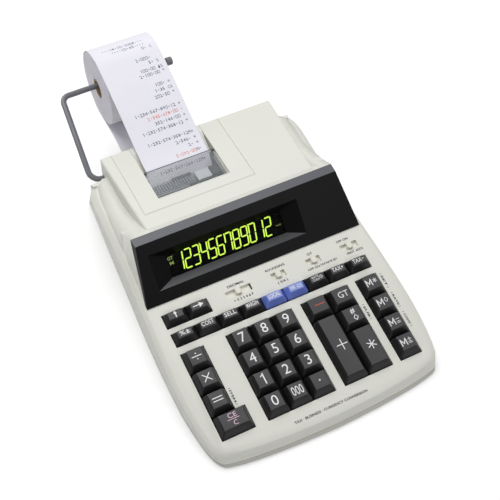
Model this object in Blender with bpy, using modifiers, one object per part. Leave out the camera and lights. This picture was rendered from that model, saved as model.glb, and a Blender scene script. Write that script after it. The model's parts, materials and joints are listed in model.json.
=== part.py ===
# Printing calculator with a tilted keyboard deck, a raised display and a paper tape printer.
# Lengths are metres. The case frame has its origin at the front edge of the numeric keys,
# in the surface of the deck: X runs to the right, Y to the rear, Z up.

import math

import bmesh
import bpy
from mathutils import Matrix, Vector

# General clearances
GAP = 0.0003            # between pieces that touch
OVERRUN = 0.006         # how far a cutter runs past what it cuts
WELD = 0.00001          # merging distance for doubled points

# Keys
PITCH_X = 0.01995
PITCH_Y = 0.01927
PLUS_PITCH = 0.0221
BLOCK_GAP = 0.00875     # between the numeric and the plus block
MEMORY_GAP = 0.0077     # between the plus block and the memory keys
FIELD_SHIFT = 0.000825  # of the key field to the left of the case's middle
NUMERIC_COLUMNS = 3
KEY_ROWS = 4
FUNCTION_COLUMNS = 9
FIELD_WIDTH = (NUMERIC_COLUMNS + 3) * PITCH_X + BLOCK_GAP + 2 * PLUS_PITCH + MEMORY_GAP
LEFT_X = -FIELD_WIDTH / 2 - FIELD_SHIFT
NUMERIC_X = LEFT_X + 2 * PITCH_X
PLUS_X = NUMERIC_X + NUMERIC_COLUMNS * PITCH_X + BLOCK_GAP
MEMORY_X = PLUS_X + 2 * PLUS_PITCH + MEMORY_GAP
CLEAR_KEY_WIDTH = 0.0284
FUNCTION_INSET = 0.0003
FUNCTION_X = LEFT_X + FUNCTION_INSET
FUNCTION_PITCH = (FIELD_WIDTH - FUNCTION_INSET / 2) / FUNCTION_COLUMNS
FUNCTION_GAP = 0.0069
FUNCTION_Y = KEY_ROWS * PITCH_Y + FUNCTION_GAP
FUNCTION_DEPTH = 0.0118
ARROW_GAP = 0.0055
ARROW_Y = FUNCTION_Y + FUNCTION_DEPTH + ARROW_GAP
ARROW_DEPTH = 0.0122
KEY_GAP = 0.0008
WELL_MARGIN = 0.0004
KEY_HEIGHT = 0.0068
LOW_KEY_HEIGHT = 0.0060
KEY_SKIRT_HEIGHT = 0.0010
KEY_SKIRT_DEPTH = 0.0010
KEY_SIDE_INSET = 0.0029
KEY_FRONT_INSET = 0.0040
LOW_KEY_FRONT_INSET = 0.0034
KEY_REAR_INSET = 0.0010
KEY_EDGE = 0.0005
KEY_RIM = 0.0015
KEY_DISH = 0.0004
KEY_CORNER = 0.0010
KEY_SHELL = 0.0012
KEY_ROOF = 0.0016
KEY_TRAVEL = 0.0026
STEM_WIDTH = 0.0048
STEM_CLEARANCE = 0.0003
STEM_CATCH = 0.0007
STEM_CATCH_HEIGHT = 0.0008

# Raised housing behind the display, its length along the case
SWITCH_GAP = 0.0099
SWITCH_Y = FUNCTION_Y + FUNCTION_DEPTH + SWITCH_GAP
BEZEL_GAP = 0.0183      # from the switches to the foot of the bezel
BEZEL_FOOT_Y = SWITCH_Y + BEZEL_GAP
BEZEL_RUN = 0.0382
HOUSING_Y = BEZEL_FOOT_Y + BEZEL_RUN
PLATEAU_DEPTH = 0.0926
PLATEAU_REAR = HOUSING_Y + PLATEAU_DEPTH
SHOULDER_SETBACK = 0.0112
SHOULDER_Y = PLATEAU_REAR - SHOULDER_SETBACK

# Case
DECK_TILT = math.radians(12.85)
DECK_SIDE_MARGIN = 0.016525
RIM_HALF_WIDTH = FIELD_WIDTH / 2 + DECK_SIDE_MARGIN
RIM_FRONT = -0.0205
RIM_SETBACK = 0.0033
RIM_LENGTH = PLATEAU_REAR - RIM_SETBACK - RIM_FRONT
BASE_INSET = 0.0003
BASE_HALF_WIDTH = RIM_HALF_WIDTH - BASE_INSET
BASE_OVERHANG = 0.0022
BASE_FRONT = RIM_FRONT - BASE_OVERHANG
REAR_SLOPE_RUN = 0.0375
BASE_LENGTH = RIM_LENGTH + BASE_OVERHANG + REAR_SLOPE_RUN
BASE_Z = -0.0163
WALL = 0.0023
DECK_WALL = 0.0022
PARTING_HEIGHT = 0.0030
ROUND_SIDE_INSET = 0.0040
ROUND_REAR_EXTRA = 0.0021
ROUND_SIDE_DEPTH = 0.0040
ROUND_FRONT_INSET = 0.0090
ROUND_FRONT_DEPTH = 0.0070
ROUND_REAR_INSET = 0.0035
ROUND_REAR_DEPTH = 0.0032
SIDE_FLATNESS_SHARE = 0.85      # the edge is a chamfer along the sides, and round at the front
ROUND_STEPS = 4
HOLLOW_STEPS = 3
OUTLINE_STEPS = 2

# Outline of the rim and of the base, front centre to rear centre: half width share, length share
RIM_SHARES = (
    (0.0, 0.0), (0.35, 0.004), (0.65, 0.014), (0.82, 0.025), (0.905, 0.036), (0.943, 0.056),
    (0.960, 0.080), (0.975, 0.115), (0.992, 0.18), (1.0, 0.25), (0.997, 0.33), (0.987, 0.43),
    (0.972, 0.53), (0.957, 0.65), (0.948, 0.80), (0.944, 0.905), (0.932, 0.955), (0.895, 0.987),
    (0.80, 1.0), (0.0, 1.0),
)
BASE_SHARES = (
    (0.0, 0.0), (0.35, 0.004), (0.65, 0.0125), (0.82, 0.022), (0.90, 0.031), (0.937, 0.049),
    (0.957, 0.068), (0.975, 0.10), (0.992, 0.16), (1.0, 0.22), (0.995, 0.30), (0.985, 0.38),
    (0.965, 0.485), (0.935, 0.60), (0.888, 0.79), (0.845, 0.945), (0.832, 0.985), (0.805, 1.0),
    (0.50, 1.0), (0.0, 1.0),
)
BEVEL_GROWTH_SHARE = 0.55   # the side round-over widens behind this share of the rim's length

# Housing and cheeks
BEZEL_FOOT_Z = 0.0290
BEZEL_MARGIN = 0.0076
BEZEL_FOOT_HALF_WIDTH = RIM_HALF_WIDTH - BEZEL_MARGIN
HOUSING_LEAN = 0.0067
HOUSING_HALF_WIDTH = BEZEL_FOOT_HALF_WIDTH - HOUSING_LEAN
HOUSING_Z = 0.0675
HOUSING_ROOT = 0.0120
SHOULDER_SINK = 0.0004
CHEEK_FOOT_INSET = 0.0006
CHEEK_FOOT_SINK = 0.0010
SLOPE_SHARES = (-0.16, 0.0, 0.5)    # stations under the bezel, as shares of its run
# Cheek stations: share of the run to the rear, of the half width, and of the height above the deck
# at the outer edge and at the foot of the step
CHEEK_SHARES = (
    (0.0, 1.0, 1.0, 1.0), (0.04, 1.004, 0.92, 0.965), (0.087, 1.009, 0.80, 0.88),
    (0.142, 1.013, 0.68, 0.78), (0.20, 1.016, 0.575, 0.68), (0.271, 1.018, 0.465, 0.57),
    (0.36, 1.020, 0.33, 0.42), (0.44, 1.021, 0.215, 0.31), (0.529, 1.021, 0.10, 0.205),
    (0.63, 1.018, 0.02, 0.14), (0.80, 1.012, 0.04, 0.15), (0.92, 0.992, 0.07, 0.16),
    (1.0, 0.930, 0.09, 0.17),
)
STEP_FILLET = 0.0042
FILLET_SHARE = 0.30                 # height of the fillet's outer end, between edge and step
PLATEAU_INSET = 0.0111
PLATEAU_HALF_WIDTH = HOUSING_HALF_WIDTH - PLATEAU_INSET
PLATEAU_TAPER = 0.0046
PLATEAU_SETBACK = 0.0018
PLATEAU_FRONT = HOUSING_Y + PLATEAU_SETBACK
PLATEAU_SLOPE = math.atan(0.0234)
PLATEAU_ROUND = 0.0016
PLATEAU_ROOT = 0.0360
STEP_OVERLAP = 0.0030

# Key frame and key board below the deck
FRAME_TOP = -0.0040
FRAME_THICKNESS = 0.0016
FRAME_RIM = 0.0017
FRAME_MARGIN = 0.0024
SLEEVE_WALL = 0.0009
SLEEVE_LENGTH = 0.0015
PAD_WIDTH = 0.0070
PAD_HEIGHT = 0.0006
BOARD_THICKNESS = 0.0014
PART_HEIGHT = 0.0112        # of the tallest parts on the main board
FRAME_POST = 0.0040

# Slide switches: low end and length of each slot
DECIMAL_SLOT_X = -0.0352
DECIMAL_SLOT_LENGTH = 0.0232
ROUNDING_SLOT_X = 0.0068
ROUNDING_SLOT_LENGTH = 0.0129
TOTAL_SLOT_X = 0.0398
TOTAL_SLOT_LENGTH = 0.0132
PRINT_SLOT_X = 0.0733
PRINT_SLOT_LENGTH = 0.0157
SWITCH_SLOTS = {
    "switch_decimal": (DECIMAL_SLOT_X, DECIMAL_SLOT_LENGTH),
    "switch_rounding": (ROUNDING_SLOT_X, ROUNDING_SLOT_LENGTH),
    "switch_total": (TOTAL_SLOT_X, TOTAL_SLOT_LENGTH),
    "switch_print": (PRINT_SLOT_X, PRINT_SLOT_LENGTH),
}
# Knob places at rest, as shares of the free run from the low end
SWITCH_REST_SHARES = {
    "switch_decimal": 0.45,
    "switch_rounding": 0.46,
    "switch_total": 0.54,
    "switch_print": 0.5,
}
SWITCH_SLOT_WIDTH = 0.0062
KNOB_LENGTH = 0.0052
KNOB_HEIGHT = 0.0026
KNOB_CLEARANCE = 0.0004
KNOB_RIB = 0.0008
SHOE_THICKNESS = 0.0012
SHOE_OVERLAP = 0.0012
SHOE_REACH = 0.0088      # past the knob, at the most
SWITCH_BODY_WIDTH = 0.0080

# Display bezel, in the plane of its face
BEZEL_DEPTH = 0.0040
FACE_BOTTOM_Y = BEZEL_FOOT_Y - BEZEL_DEPTH
FACE_BOTTOM_LIP = 0.0013
STRIP_DEPTH = 0.0091
STRIP_DROP = 0.0003
FACE_TOP_Y = HOUSING_Y - STRIP_DEPTH
FACE_TOP_Z = HOUSING_Z - STRIP_DROP
STRIP_INSET = 0.0006
FACE_TOP_HALF_WIDTH = HOUSING_HALF_WIDTH - STRIP_INSET
WINDOW_LEFT = -0.0845
WINDOW_RIGHT = 0.0507
WINDOW_LOW = 0.0100
WINDOW_HIGH = 0.0406
GLASS_LEFT = -0.0694
GLASS_RIGHT = 0.0356
GLASS_LOW = 0.0152
GLASS_HIGH = 0.0344
FUNNEL_DEPTH = 0.0063
FUNNEL_WALL = 0.0020
LENS_MARGIN = 0.0018
LENS_THICKNESS = 0.0016
TUBE_DEPTH = 0.0060
TUBE_MARGIN = 0.0030
TUBE_EDGE = 0.0012
DISPLAY_CUT_DEPTH = 0.0180

# Printer cover and tear window, in the plane of the plateau
COVER_LEFT = -0.0712
COVER_RIGHT = 0.0293
COVER_FRONT = 0.0180
COVER_THICKNESS = 0.0022
COVER_LEDGE = 0.0030
LEDGE_THICKNESS = 0.0020
MOUTH_LEFT = -0.0545
MOUTH_RIGHT = 0.0115
MOUTH_FRONT = 0.0282
MOUTH_LIP_RUN = 0.0041
FLANGE_WALL = 0.0012
LIP_THICKNESS = 0.00144
FLANGE_DEPTH = 0.0085
FLANGE_END = 0.0700
WINDOW_TOP = 0.0605
WINDOW_PLATE = 0.0014
WINDOW_PIN_RADIUS = 0.0012
RAMP_FRONT = 0.0655
RAMP_DEPTH = 0.0088
RAMP_CREST = 0.0843
RAMP_THICKNESS = 0.0020
HINGE_PIN_RADIUS = 0.0005
HINGE_PIN_LENGTH = 0.0016

# Printer
PLATEN_Y = 0.2220
PLATEN_Z = 0.0460
PLATEN_RADIUS = 0.0090
DRUM_Y = 0.2046
DRUM_Z = 0.0478
DRUM_RADIUS = 0.0066
DRUM_WHEELS = 12
DRUM_GROOVE = 0.0012
INK_Y = 0.19605
INK_Z = 0.03953
INK_RADIUS = 0.0050
SHAFT_RADIUS = 0.0015
SHAFT_CLEARANCE = 0.0003
SIDE_PLATE = 0.0015
FRAME_LEFT = -0.0562
FRAME_RIGHT = 0.0132
PRINTER_FRONT = 0.1880
PRINTER_REAR = 0.2360
PRINTER_TOP = 0.0560
PRINTER_BASE_Z = -0.0080
PRINTER_BASE_THICKNESS = 0.0016
TIE_BAR_RADIUS = 0.0020
TIE_BAR_Y = 0.2300
TIE_BAR_Z = 0.0200

# Paper
PAPER_WIDTH = 0.0580
PAPER_CENTRE_X = -0.0222
PAPER_THICKNESS = 0.0004
ROLL_Y = 0.3328
ROLL_Z = 0.0745
ROLL_RADIUS = 0.0340
CORE_RADIUS = 0.0088
CORE_BORE = 0.0073
TEAR_EXIT_Y = 0.2242
TEAR_EXIT_Z = 0.0668
TAPE_ENTRY_Y = 0.2480
TAPE_ENTRY_Z = 0.0262
SLOT_Y = 0.2620
SLOT_Z = 0.0290
SLOT_LOW = 0.0262
SLOT_HIGH = 0.0382
SLOT_MARGIN = 0.0018
TAPE_START_ANGLE = math.radians(-62)
TAPE_LEAVE_ANGLE = math.radians(-97)
TAPE_TOUCH_ANGLE = math.radians(112)
TAPE_END_ANGLE = math.radians(28)
# Lower run of the tape from the roll to the slot in the rear wall: share of the run, of the drop
TAPE_WEB_SHARES = ((0.38, 0.09), (0.63, 0.42))
# Upper run of the tape from the tear edge to the roll: share of the run, share of the rise
TAPE_RUN_SHARES = (
    (0.0, 0.0), (0.10, 0.065), (0.20, 0.155), (0.36, 0.325), (0.56, 0.555), (0.78, 0.790),
)

# Roll holder
WIRE_RADIUS = 0.0026
HOLDER_FOOT_Y = 0.2510
HOLDER_FOOT_Z = 0.0494
HOLDER_FOOT_LENGTH = 0.0070
HOLDER_OUTER_X = -0.0922
HOLDER_CORNER_X = -0.0850
HOLDER_FOOT_BEND = 0.0095
HOLDER_TOP_BEND = 0.0070
ROD_END_X = 0.0200
ROD_DROP = 0.0015
CAP_RADIUS = 0.0039
CAP_LENGTH = 0.0055
CAP_SOCKET = 0.0035
BOSS_WALL = 0.0030

# Bottom case and what stands on it
FLOOR = 0.0020
LIP_HEIGHT = 0.0022
LIP_WALL = 0.0016
FOOT_RADIUS = 0.0080
FOOT_HEIGHT = 0.0015
BOSS_RADIUS = 0.0035
FOOT_SHARES = ((0.80, 0.075), (0.74, 0.90))
BOARD_LEFT = -0.0780
BOARD_RIGHT = 0.0780
BOARD_FRONT = 0.1250
BOARD_REAR = 0.1800
MAIN_BOARD_Z = -0.0080
# Chips and capacitors on the main board: place, then width and depth, as shares of the board
CHIP_SHARES = ((0.12, 0.3, 0.10, 0.20), (0.40, 0.35, 0.14, 0.30), (0.66, 0.6, 0.08, 0.16))
CAPACITOR_SHARES = ((0.85, 0.3), (0.92, 0.6), (0.30, 0.75))
TRANSFORMER_X = 0.0540
TRANSFORMER_SETBACK = 0.0670
TRANSFORMER_Y = BASE_FRONT + BASE_LENGTH - TRANSFORMER_SETBACK
CORE_WIDTH = 0.0480
CORE_DEPTH = 0.0400
CORE_HEIGHT = 0.0300
COIL_WIDTH = 0.0300
COIL_DEPTH = 0.0540
COIL_HEIGHT = 0.0200

# Facets round turned pieces
FINE = 40
COARSE = 12


def clear_scene():
    for obj in list(bpy.data.objects):
        bpy.data.objects.remove(obj, do_unlink=True)


def make_material(name, colour, roughness, metallic=0.0, alpha=1.0):
    material = bpy.data.materials.new(name)
    material.use_nodes = True
    shader = material.node_tree.nodes["Principled BSDF"]
    shader.inputs["Base Color"].default_value = (*colour, 1.0)
    shader.inputs["Roughness"].default_value = roughness
    shader.inputs["Metallic"].default_value = metallic
    shader.inputs["Alpha"].default_value = alpha
    material.diffuse_color = (*colour, alpha)
    return material


def add_object(name, data, parent, material=None, location=(0, 0, 0)):
    # A piece goes in the part's collection, and one without a material is a cutter.
    obj = bpy.data.objects.new(name, data)
    obj.parent = parent
    obj.location = location
    if material is None:
        cutters.objects.link(obj)
        obj.hide_render = True
        obj.display_type = "WIRE"
    else:
        parts.objects.link(obj)
        data.materials.append(material)
    return obj


def finish_mesh(bm, name, smooth=False):
    bmesh.ops.remove_doubles(bm, verts=bm.verts, dist=WELD)
    bmesh.ops.recalc_face_normals(bm, faces=bm.faces)
    if bm.calc_volume(signed=True) < 0:
        bmesh.ops.reverse_faces(bm, faces=bm.faces)
    mesh = bpy.data.meshes.new(name)
    bm.to_mesh(mesh)
    bm.free()
    if smooth:
        mesh.shade_smooth()
        mesh.set_sharp_from_angle(angle=math.radians(35))
    return mesh


def add_box(bm, low, high):
    size = [b - a for a, b in zip(low, high)]
    centre = [(a + b) / 2 for a, b in zip(low, high)]
    matrix = Matrix.Translation(centre) @ Matrix.Diagonal((*size, 1))
    bmesh.ops.create_cube(bm, size=1, matrix=matrix)


def add_rod(bm, axis, centre, radius, length, segments=COARSE, end_radius=None):
    turn = {"X": Matrix.Rotation(math.radians(90), 4, "Y"), "Z": Matrix.Identity(4)}[axis]
    bmesh.ops.create_cone(
        bm, cap_ends=True, segments=segments, radius1=radius,
        radius2=radius if end_radius is None else end_radius, depth=length,
        matrix=Matrix.Translation(centre) @ turn)


def add_loft(bm, rings):
    # Joins rings with the same number of points by quads and closes both ends.
    loops = [[bm.verts.new(point) for point in ring] for ring in rings]
    count = len(loops[0])
    for lower, upper in zip(loops, loops[1:]):
        for i in range(count):
            j = (i + 1) % count
            bm.faces.new((lower[i], lower[j], upper[j], upper[i]))
    bm.faces.new(loops[0][::-1])
    bm.faces.new(loops[-1])


def boxes_mesh(name, boxes):
    bm = bmesh.new()
    for low, high in boxes:
        add_box(bm, low, high)
    return finish_mesh(bm, name)


def loft_mesh(name, rings):
    bm = bmesh.new()
    add_loft(bm, rings)
    return finish_mesh(bm, name)


def combine(target, other, operation):
    modifier = target.modifiers.new(operation.title() + " " + other.name, "BOOLEAN")
    modifier.operation = operation
    modifier.solver = "EXACT"
    modifier.object = other


def prism_across(name, outline, half_width, left=None, right=None):
    # Extrudes a side view outline of (y, z) points along X.
    low = -half_width if left is None else left
    high = half_width if right is None else right
    return loft_mesh(name, [[(x, y, z) for y, z in outline] for x in (low, high)])


def lerp(a, b, share):
    return a + (b - a) * share


def curve_through(points, steps):
    # Catmull-Rom curve through 2D points, the first and the last included.
    first = (2 * points[0][0] - points[1][0], 2 * points[0][1] - points[1][1])
    last = (2 * points[-1][0] - points[-2][0], 2 * points[-1][1] - points[-2][1])
    padded = [first, *points, last]
    result = []
    for k in range(1, len(padded) - 2):
        p0, p1, p2, p3 = padded[k - 1:k + 3]
        for s in range(steps):
            t = s / steps
            result.append(tuple(
                0.5 * (2 * b + (c - a) * t + (2 * a - 5 * b + 4 * c - d) * t ** 2
                       + (3 * b - 3 * c + d - a) * t ** 3)
                for a, b, c, d in zip(p0, p1, p2, p3)))
    result.append(tuple(points[-1]))
    return result


def deck_point(x, along, above):
    # Deck coordinates to the case frame.
    return Vector((x, along * math.cos(DECK_TILT) - above * math.sin(DECK_TILT),
                   along * math.sin(DECK_TILT) + above * math.cos(DECK_TILT)))


def deck_height(y):
    return y * math.tan(DECK_TILT)


def outline_points(shares, half_width, length, front, inset):
    # Closed outline drawn in by an inset, from the middle of the front round by the right.
    width = half_width - inset
    run = length - 2 * inset
    half = curve_through([(x * width, front + inset + y * run) for x, y in shares], OUTLINE_STEPS)
    return half + [(-x, y) for x, y in half[-2:0:-1]]


def outward_normals(points):
    count = len(points)
    normals = []
    for i in range(count):
        before, after = points[i - 1], points[(i + 1) % count]
        along = Vector((after[0] - before[0], after[1] - before[1])).normalized()
        normals.append(Vector((along.y, -along.x)))
    return normals


def rim_ring(turn, inset):
    # One ring of the round-over between the rim, at turn 0, and the deck, at a quarter turn.
    points = outline_points(RIM_SHARES, RIM_HALF_WIDTH, RIM_LENGTH, RIM_FRONT, inset)
    ring = []
    for (x, y), normal in zip(points, outward_normals(points)):
        side = normal.x ** 2
        growth = max(0.0, (y - RIM_FRONT) / RIM_LENGTH - BEVEL_GROWTH_SHARE) / (1 - BEVEL_GROWTH_SHARE)
        side_inset = ROUND_SIDE_INSET + ROUND_REAR_EXTRA * growth
        if normal.y < 0:
            run = lerp(ROUND_FRONT_INSET, side_inset, side)
            drop = lerp(ROUND_FRONT_DEPTH, ROUND_SIDE_DEPTH, side)
        else:
            run = lerp(ROUND_REAR_INSET, side_inset, side)
            drop = lerp(ROUND_REAR_DEPTH, ROUND_SIDE_DEPTH, side)
        flat = SIDE_FLATNESS_SHARE * side
        inward = run * lerp(1 - math.cos(turn), turn / math.radians(90), flat)
        rise = lerp(math.sin(turn), turn / math.radians(90), flat)
        above = -drop * (1 - rise) - (inset and DECK_WALL)
        ring.append(deck_point(x - normal.x * inward, y - normal.y * inward, above))
    return ring


def base_ring(inset, z):
    points = outline_points(BASE_SHARES, BASE_HALF_WIDTH, BASE_LENGTH, BASE_FRONT, inset)
    return [Vector((x, y, z)) for x, y in points]


def edge_half_width(along):
    # Half width of the deck's flat at a place along it.
    ring = rim_ring(math.radians(90), 0)
    side = [(deck_along(p), p.x) for p in ring[:len(ring) // 2]]
    for (y0, x0), (y1, x1) in zip(side, side[1:]):
        if y0 <= along < y1:
            return lerp(x0, x1, (along - y0) / (y1 - y0))
    return side[-1][1]


def deck_along(point):
    return point.y * math.cos(DECK_TILT) + point.z * math.sin(DECK_TILT)


def rear_wall_y(z):
    # The rear wall is the plane between the base's and the deck's rear edges.
    top = deck_point(0, RIM_FRONT + RIM_LENGTH, -ROUND_REAR_DEPTH)
    base_y = BASE_FRONT + BASE_LENGTH
    return base_y + (top.y - base_y) * (z - BASE_Z) / (top.z - BASE_Z)


def body_mesh(name, inset):
    steps = HOLLOW_STEPS if inset else ROUND_STEPS
    turns = [math.radians(90) * k / steps for k in range(steps + 1)]
    rings = [base_ring(inset, BASE_Z)] + [rim_ring(turn, inset) for turn in turns]
    if inset:
        rings.insert(0, base_ring(inset, BASE_Z - OVERRUN))
    return loft_mesh(name, rings)


def cheek_section(y, half_width, top, foot_top, step_z, inset, y_of_z=None):
    along = deck_along(Vector((0, y, deck_height(y))))
    foot_x = max(edge_half_width(along) - CHEEK_FOOT_INSET, half_width) - inset
    foot_z = min(deck_height(y) - CHEEK_FOOT_SINK, foot_top - SHOULDER_SINK)
    if inset:
        foot_z -= inset + CHEEK_FOOT_SINK
    root_z = deck_height(y) - HOUSING_ROOT * (2 if inset else 1)
    step_x = PLATEAU_HALF_WIDTH - STEP_OVERLAP - PLATEAU_TAPER
    fillet_x = PLATEAU_HALF_WIDTH + STEP_FILLET
    half = [(step_x, step_z - inset), (fillet_x, lerp(top, step_z, FILLET_SHARE) - inset),
            (half_width - inset, top - inset), (foot_x, foot_z), (foot_x - HOUSING_ROOT, root_z)]
    section = half + [(-x, z) for x, z in half[::-1]]
    return [Vector((x, y_of_z(z) if y_of_z else y, z)) for x, z in section]


def cheeks_mesh(name, inset):
    # Slope under the bezel first, then the stations back to the shoulder.
    sections = []
    slope = (HOUSING_Z - BEZEL_FOOT_Z) / (HOUSING_Y - BEZEL_FOOT_Y)
    for share in SLOPE_SHARES:
        y = lerp(BEZEL_FOOT_Y, HOUSING_Y, share)
        z = BEZEL_FOOT_Z + (y - BEZEL_FOOT_Y) * slope
        width = lerp(BEZEL_FOOT_HALF_WIDTH, HOUSING_HALF_WIDTH, max(share, 0))
        sections.append(cheek_section(y + inset, width, z, z, z, inset))
    rise = HOUSING_Z - deck_height(HOUSING_Y)
    for run_share, width_share, edge_share, step_share in CHEEK_SHARES:
        y = lerp(HOUSING_Y, SHOULDER_Y, run_share)
        last = run_share == 1
        sections.append(cheek_section(
            y + inset, width_share * HOUSING_HALF_WIDTH,
            deck_height(y) + rise * edge_share, deck_height(y) + rise * edge_share,
            deck_height(y) + rise * step_share, inset,
            (lambda z: rear_wall_y(z) - GAP - inset) if last else None))
    return loft_mesh(name, sections)


def plateau_height(y):
    return HOUSING_Z + (y - HOUSING_Y) * math.tan(PLATEAU_SLOPE)


def plateau_form(name, inset, material=None):
    front = PLATEAU_FRONT + inset
    rear = PLATEAU_REAR - inset
    outline = [(front, PLATEAU_ROOT), (rear, PLATEAU_ROOT),
               (rear, plateau_height(rear) - inset), (front, plateau_height(front) - inset)]
    # The side walls draw in towards the front.
    wide = PLATEAU_HALF_WIDTH - inset
    widths = (wide - PLATEAU_TAPER, wide, wide, wide - PLATEAU_TAPER)
    rings = [[(side * width, y, z) for width, (y, z) in zip(widths, outline)] for side in (-1, 1)]
    form = add_object(name, loft_mesh(name, rings), root, material)
    bevel = form.modifiers.new("Soft edges", "BEVEL")
    bevel.width = PLATEAU_ROUND
    bevel.segments = 3
    bevel.limit_method = "ANGLE"
    return form


def key_places():
    # Name, left, right, front and rear of each key's cell on the deck, and its height.
    places = []

    def add(name, left, width, row, rows):
        places.append((name, left, left + width, row * PITCH_Y, (row + rows) * PITCH_Y, KEY_HEIGHT))

    for row, name in enumerate(("key_clear", "key_equals", "key_multiply", "key_divide")):
        add(name, LEFT_X, CLEAR_KEY_WIDTH if row == 0 else PITCH_X, row, 1)
    for row, names in enumerate((("key_0", "key_000", "key_point"), ("key_1", "key_2", "key_3"),
                                 ("key_4", "key_5", "key_6"), ("key_7", "key_8", "key_9"))):
        for column, name in enumerate(names):
            add(name, NUMERIC_X + column * PITCH_X, PITCH_X, row, 1)
    add("key_plus", PLUS_X, PLUS_PITCH, 0, 3)
    add("key_minus", PLUS_X, PLUS_PITCH, 3, 1)
    add("key_total", PLUS_X + PLUS_PITCH, PLUS_PITCH, 0, 2)
    add("key_subtotal", PLUS_X + PLUS_PITCH, PLUS_PITCH, 2, 1)
    add("key_grand_total", PLUS_X + PLUS_PITCH, PLUS_PITCH, 3, 1)
    for row, name in enumerate(("key_memory_plus", "key_memory_minus", "key_memory_subtotal",
                                "key_memory_total")):
        add(name, MEMORY_X, PITCH_X, row, 1)
    function_names = ("key_percent", "key_cost", "key_sell", "key_margin", "key_local",
                      "key_exchange", "key_rate", "key_tax_plus", "key_tax_minus")
    for column, name in enumerate(function_names):
        left = FUNCTION_X + column * FUNCTION_PITCH
        places.append((name, left, left + FUNCTION_PITCH, FUNCTION_Y, FUNCTION_Y + FUNCTION_DEPTH,
                       LOW_KEY_HEIGHT))
    for column, name in enumerate(("key_feed", "key_backspace")):
        left = LEFT_X + column * PITCH_X
        places.append((name, left, left + PITCH_X, ARROW_Y, ARROW_Y + ARROW_DEPTH, LOW_KEY_HEIGHT))
    return places


def rounded_rectangle(left, right, front, rear, corner, z):
    points = []
    centres = ((right - corner, front + corner, -90), (right - corner, rear - corner, 0),
               (left + corner, rear - corner, 90), (left + corner, front + corner, 180))
    for cx, cy, start in centres:
        for turn in (0, 90):
            angle = math.radians(start + turn)
            points.append(Vector((cx + corner * math.cos(angle), cy + corner * math.sin(angle), z)))
    return points


def key_mesh(name, width, depth, height):
    # Hollow cap with a dished top and a square stem that ends in a catch. The origin is in the
    # middle of the cell, in the surface of the deck.
    x, y = (width - KEY_GAP) / 2, (depth - KEY_GAP) / 2
    front = LOW_KEY_FRONT_INSET if height == LOW_KEY_HEIGHT else KEY_FRONT_INSET
    bottom = -KEY_SKIRT_DEPTH
    levels = (
        (0, 0, 0, bottom), (0, 0, 0, KEY_SKIRT_HEIGHT),
        (KEY_SIDE_INSET, front, KEY_REAR_INSET, height - KEY_EDGE),
        (KEY_SIDE_INSET + KEY_EDGE, front + KEY_EDGE, KEY_REAR_INSET + KEY_EDGE, height))
    bm = bmesh.new()
    add_loft(bm, [rounded_rectangle(-x + side, x - side, -y + near, y - far, KEY_CORNER, z)
                  for side, near, far, z in levels])
    top = max(bm.faces, key=lambda face: face.calc_center_median().z)
    bmesh.ops.inset_region(bm, faces=[top], thickness=KEY_RIM, depth=-KEY_DISH)
    base = min(bm.faces, key=lambda face: face.calc_center_median().z)
    bmesh.ops.inset_region(bm, faces=[base], thickness=KEY_SHELL)
    hollow = bmesh.ops.extrude_face_region(bm, geom=[base])
    bmesh.ops.delete(bm, geom=[base], context="FACES_ONLY")
    roof = height - KEY_ROOF
    roof_points = [v for v in hollow["geom"] if isinstance(v, bmesh.types.BMVert)]
    share = (roof - KEY_SKIRT_HEIGHT) / (height - KEY_EDGE - KEY_SKIRT_HEIGHT)
    for vertex in roof_points:
        narrow = 1 - (KEY_SIDE_INSET * share) / (x - KEY_SHELL)
        span = y - KEY_SHELL
        vertex.co.x *= narrow
        vertex.co.y = lerp(-span + front * share, span - KEY_REAR_INSET * share,
                           (vertex.co.y + span) / (2 * span))
        vertex.co.z = roof
    return finish_mesh(bm, name)


def stem_mesh(name, height, base):
    half = STEM_WIDTH / 2
    catch = half + STEM_CATCH
    sleeve_end = FRAME_TOP - FRAME_THICKNESS - SLEEVE_LENGTH
    low = sleeve_end - GAP - STEM_CATCH_HEIGHT
    levels = ((catch, low), (catch, sleeve_end - GAP), (half, sleeve_end - GAP), (half, height - base))
    return loft_mesh(name, [[(-h, -h, z), (h, -h, z), (h, h, z), (-h, h, z)] for h, z in levels])


def make_keys(materials):
    shapes = {}
    for name, left, right, front, rear, height in key_places():
        size = (round(right - left, 6), round(rear - front, 6), height)
        if size not in shapes:
            shapes[size] = (key_mesh(name + "_cap", *size),
                            stem_mesh(name + "_stem", height, KEY_ROOF / 2))
        cap_mesh, stem = shapes[size]
        blue = name in ("key_local", "key_exchange")
        place = ((left + right) / 2, (front + rear) / 2, 0)
        mesh = cap_mesh.copy()
        cap = add_object(name, mesh, deck, materials["key_blue" if blue else "key_dark"], place)
        cutter = add_object(name + "_stem_form", stem, deck, None, place)
        combine(cap, cutter, "UNION")


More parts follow.
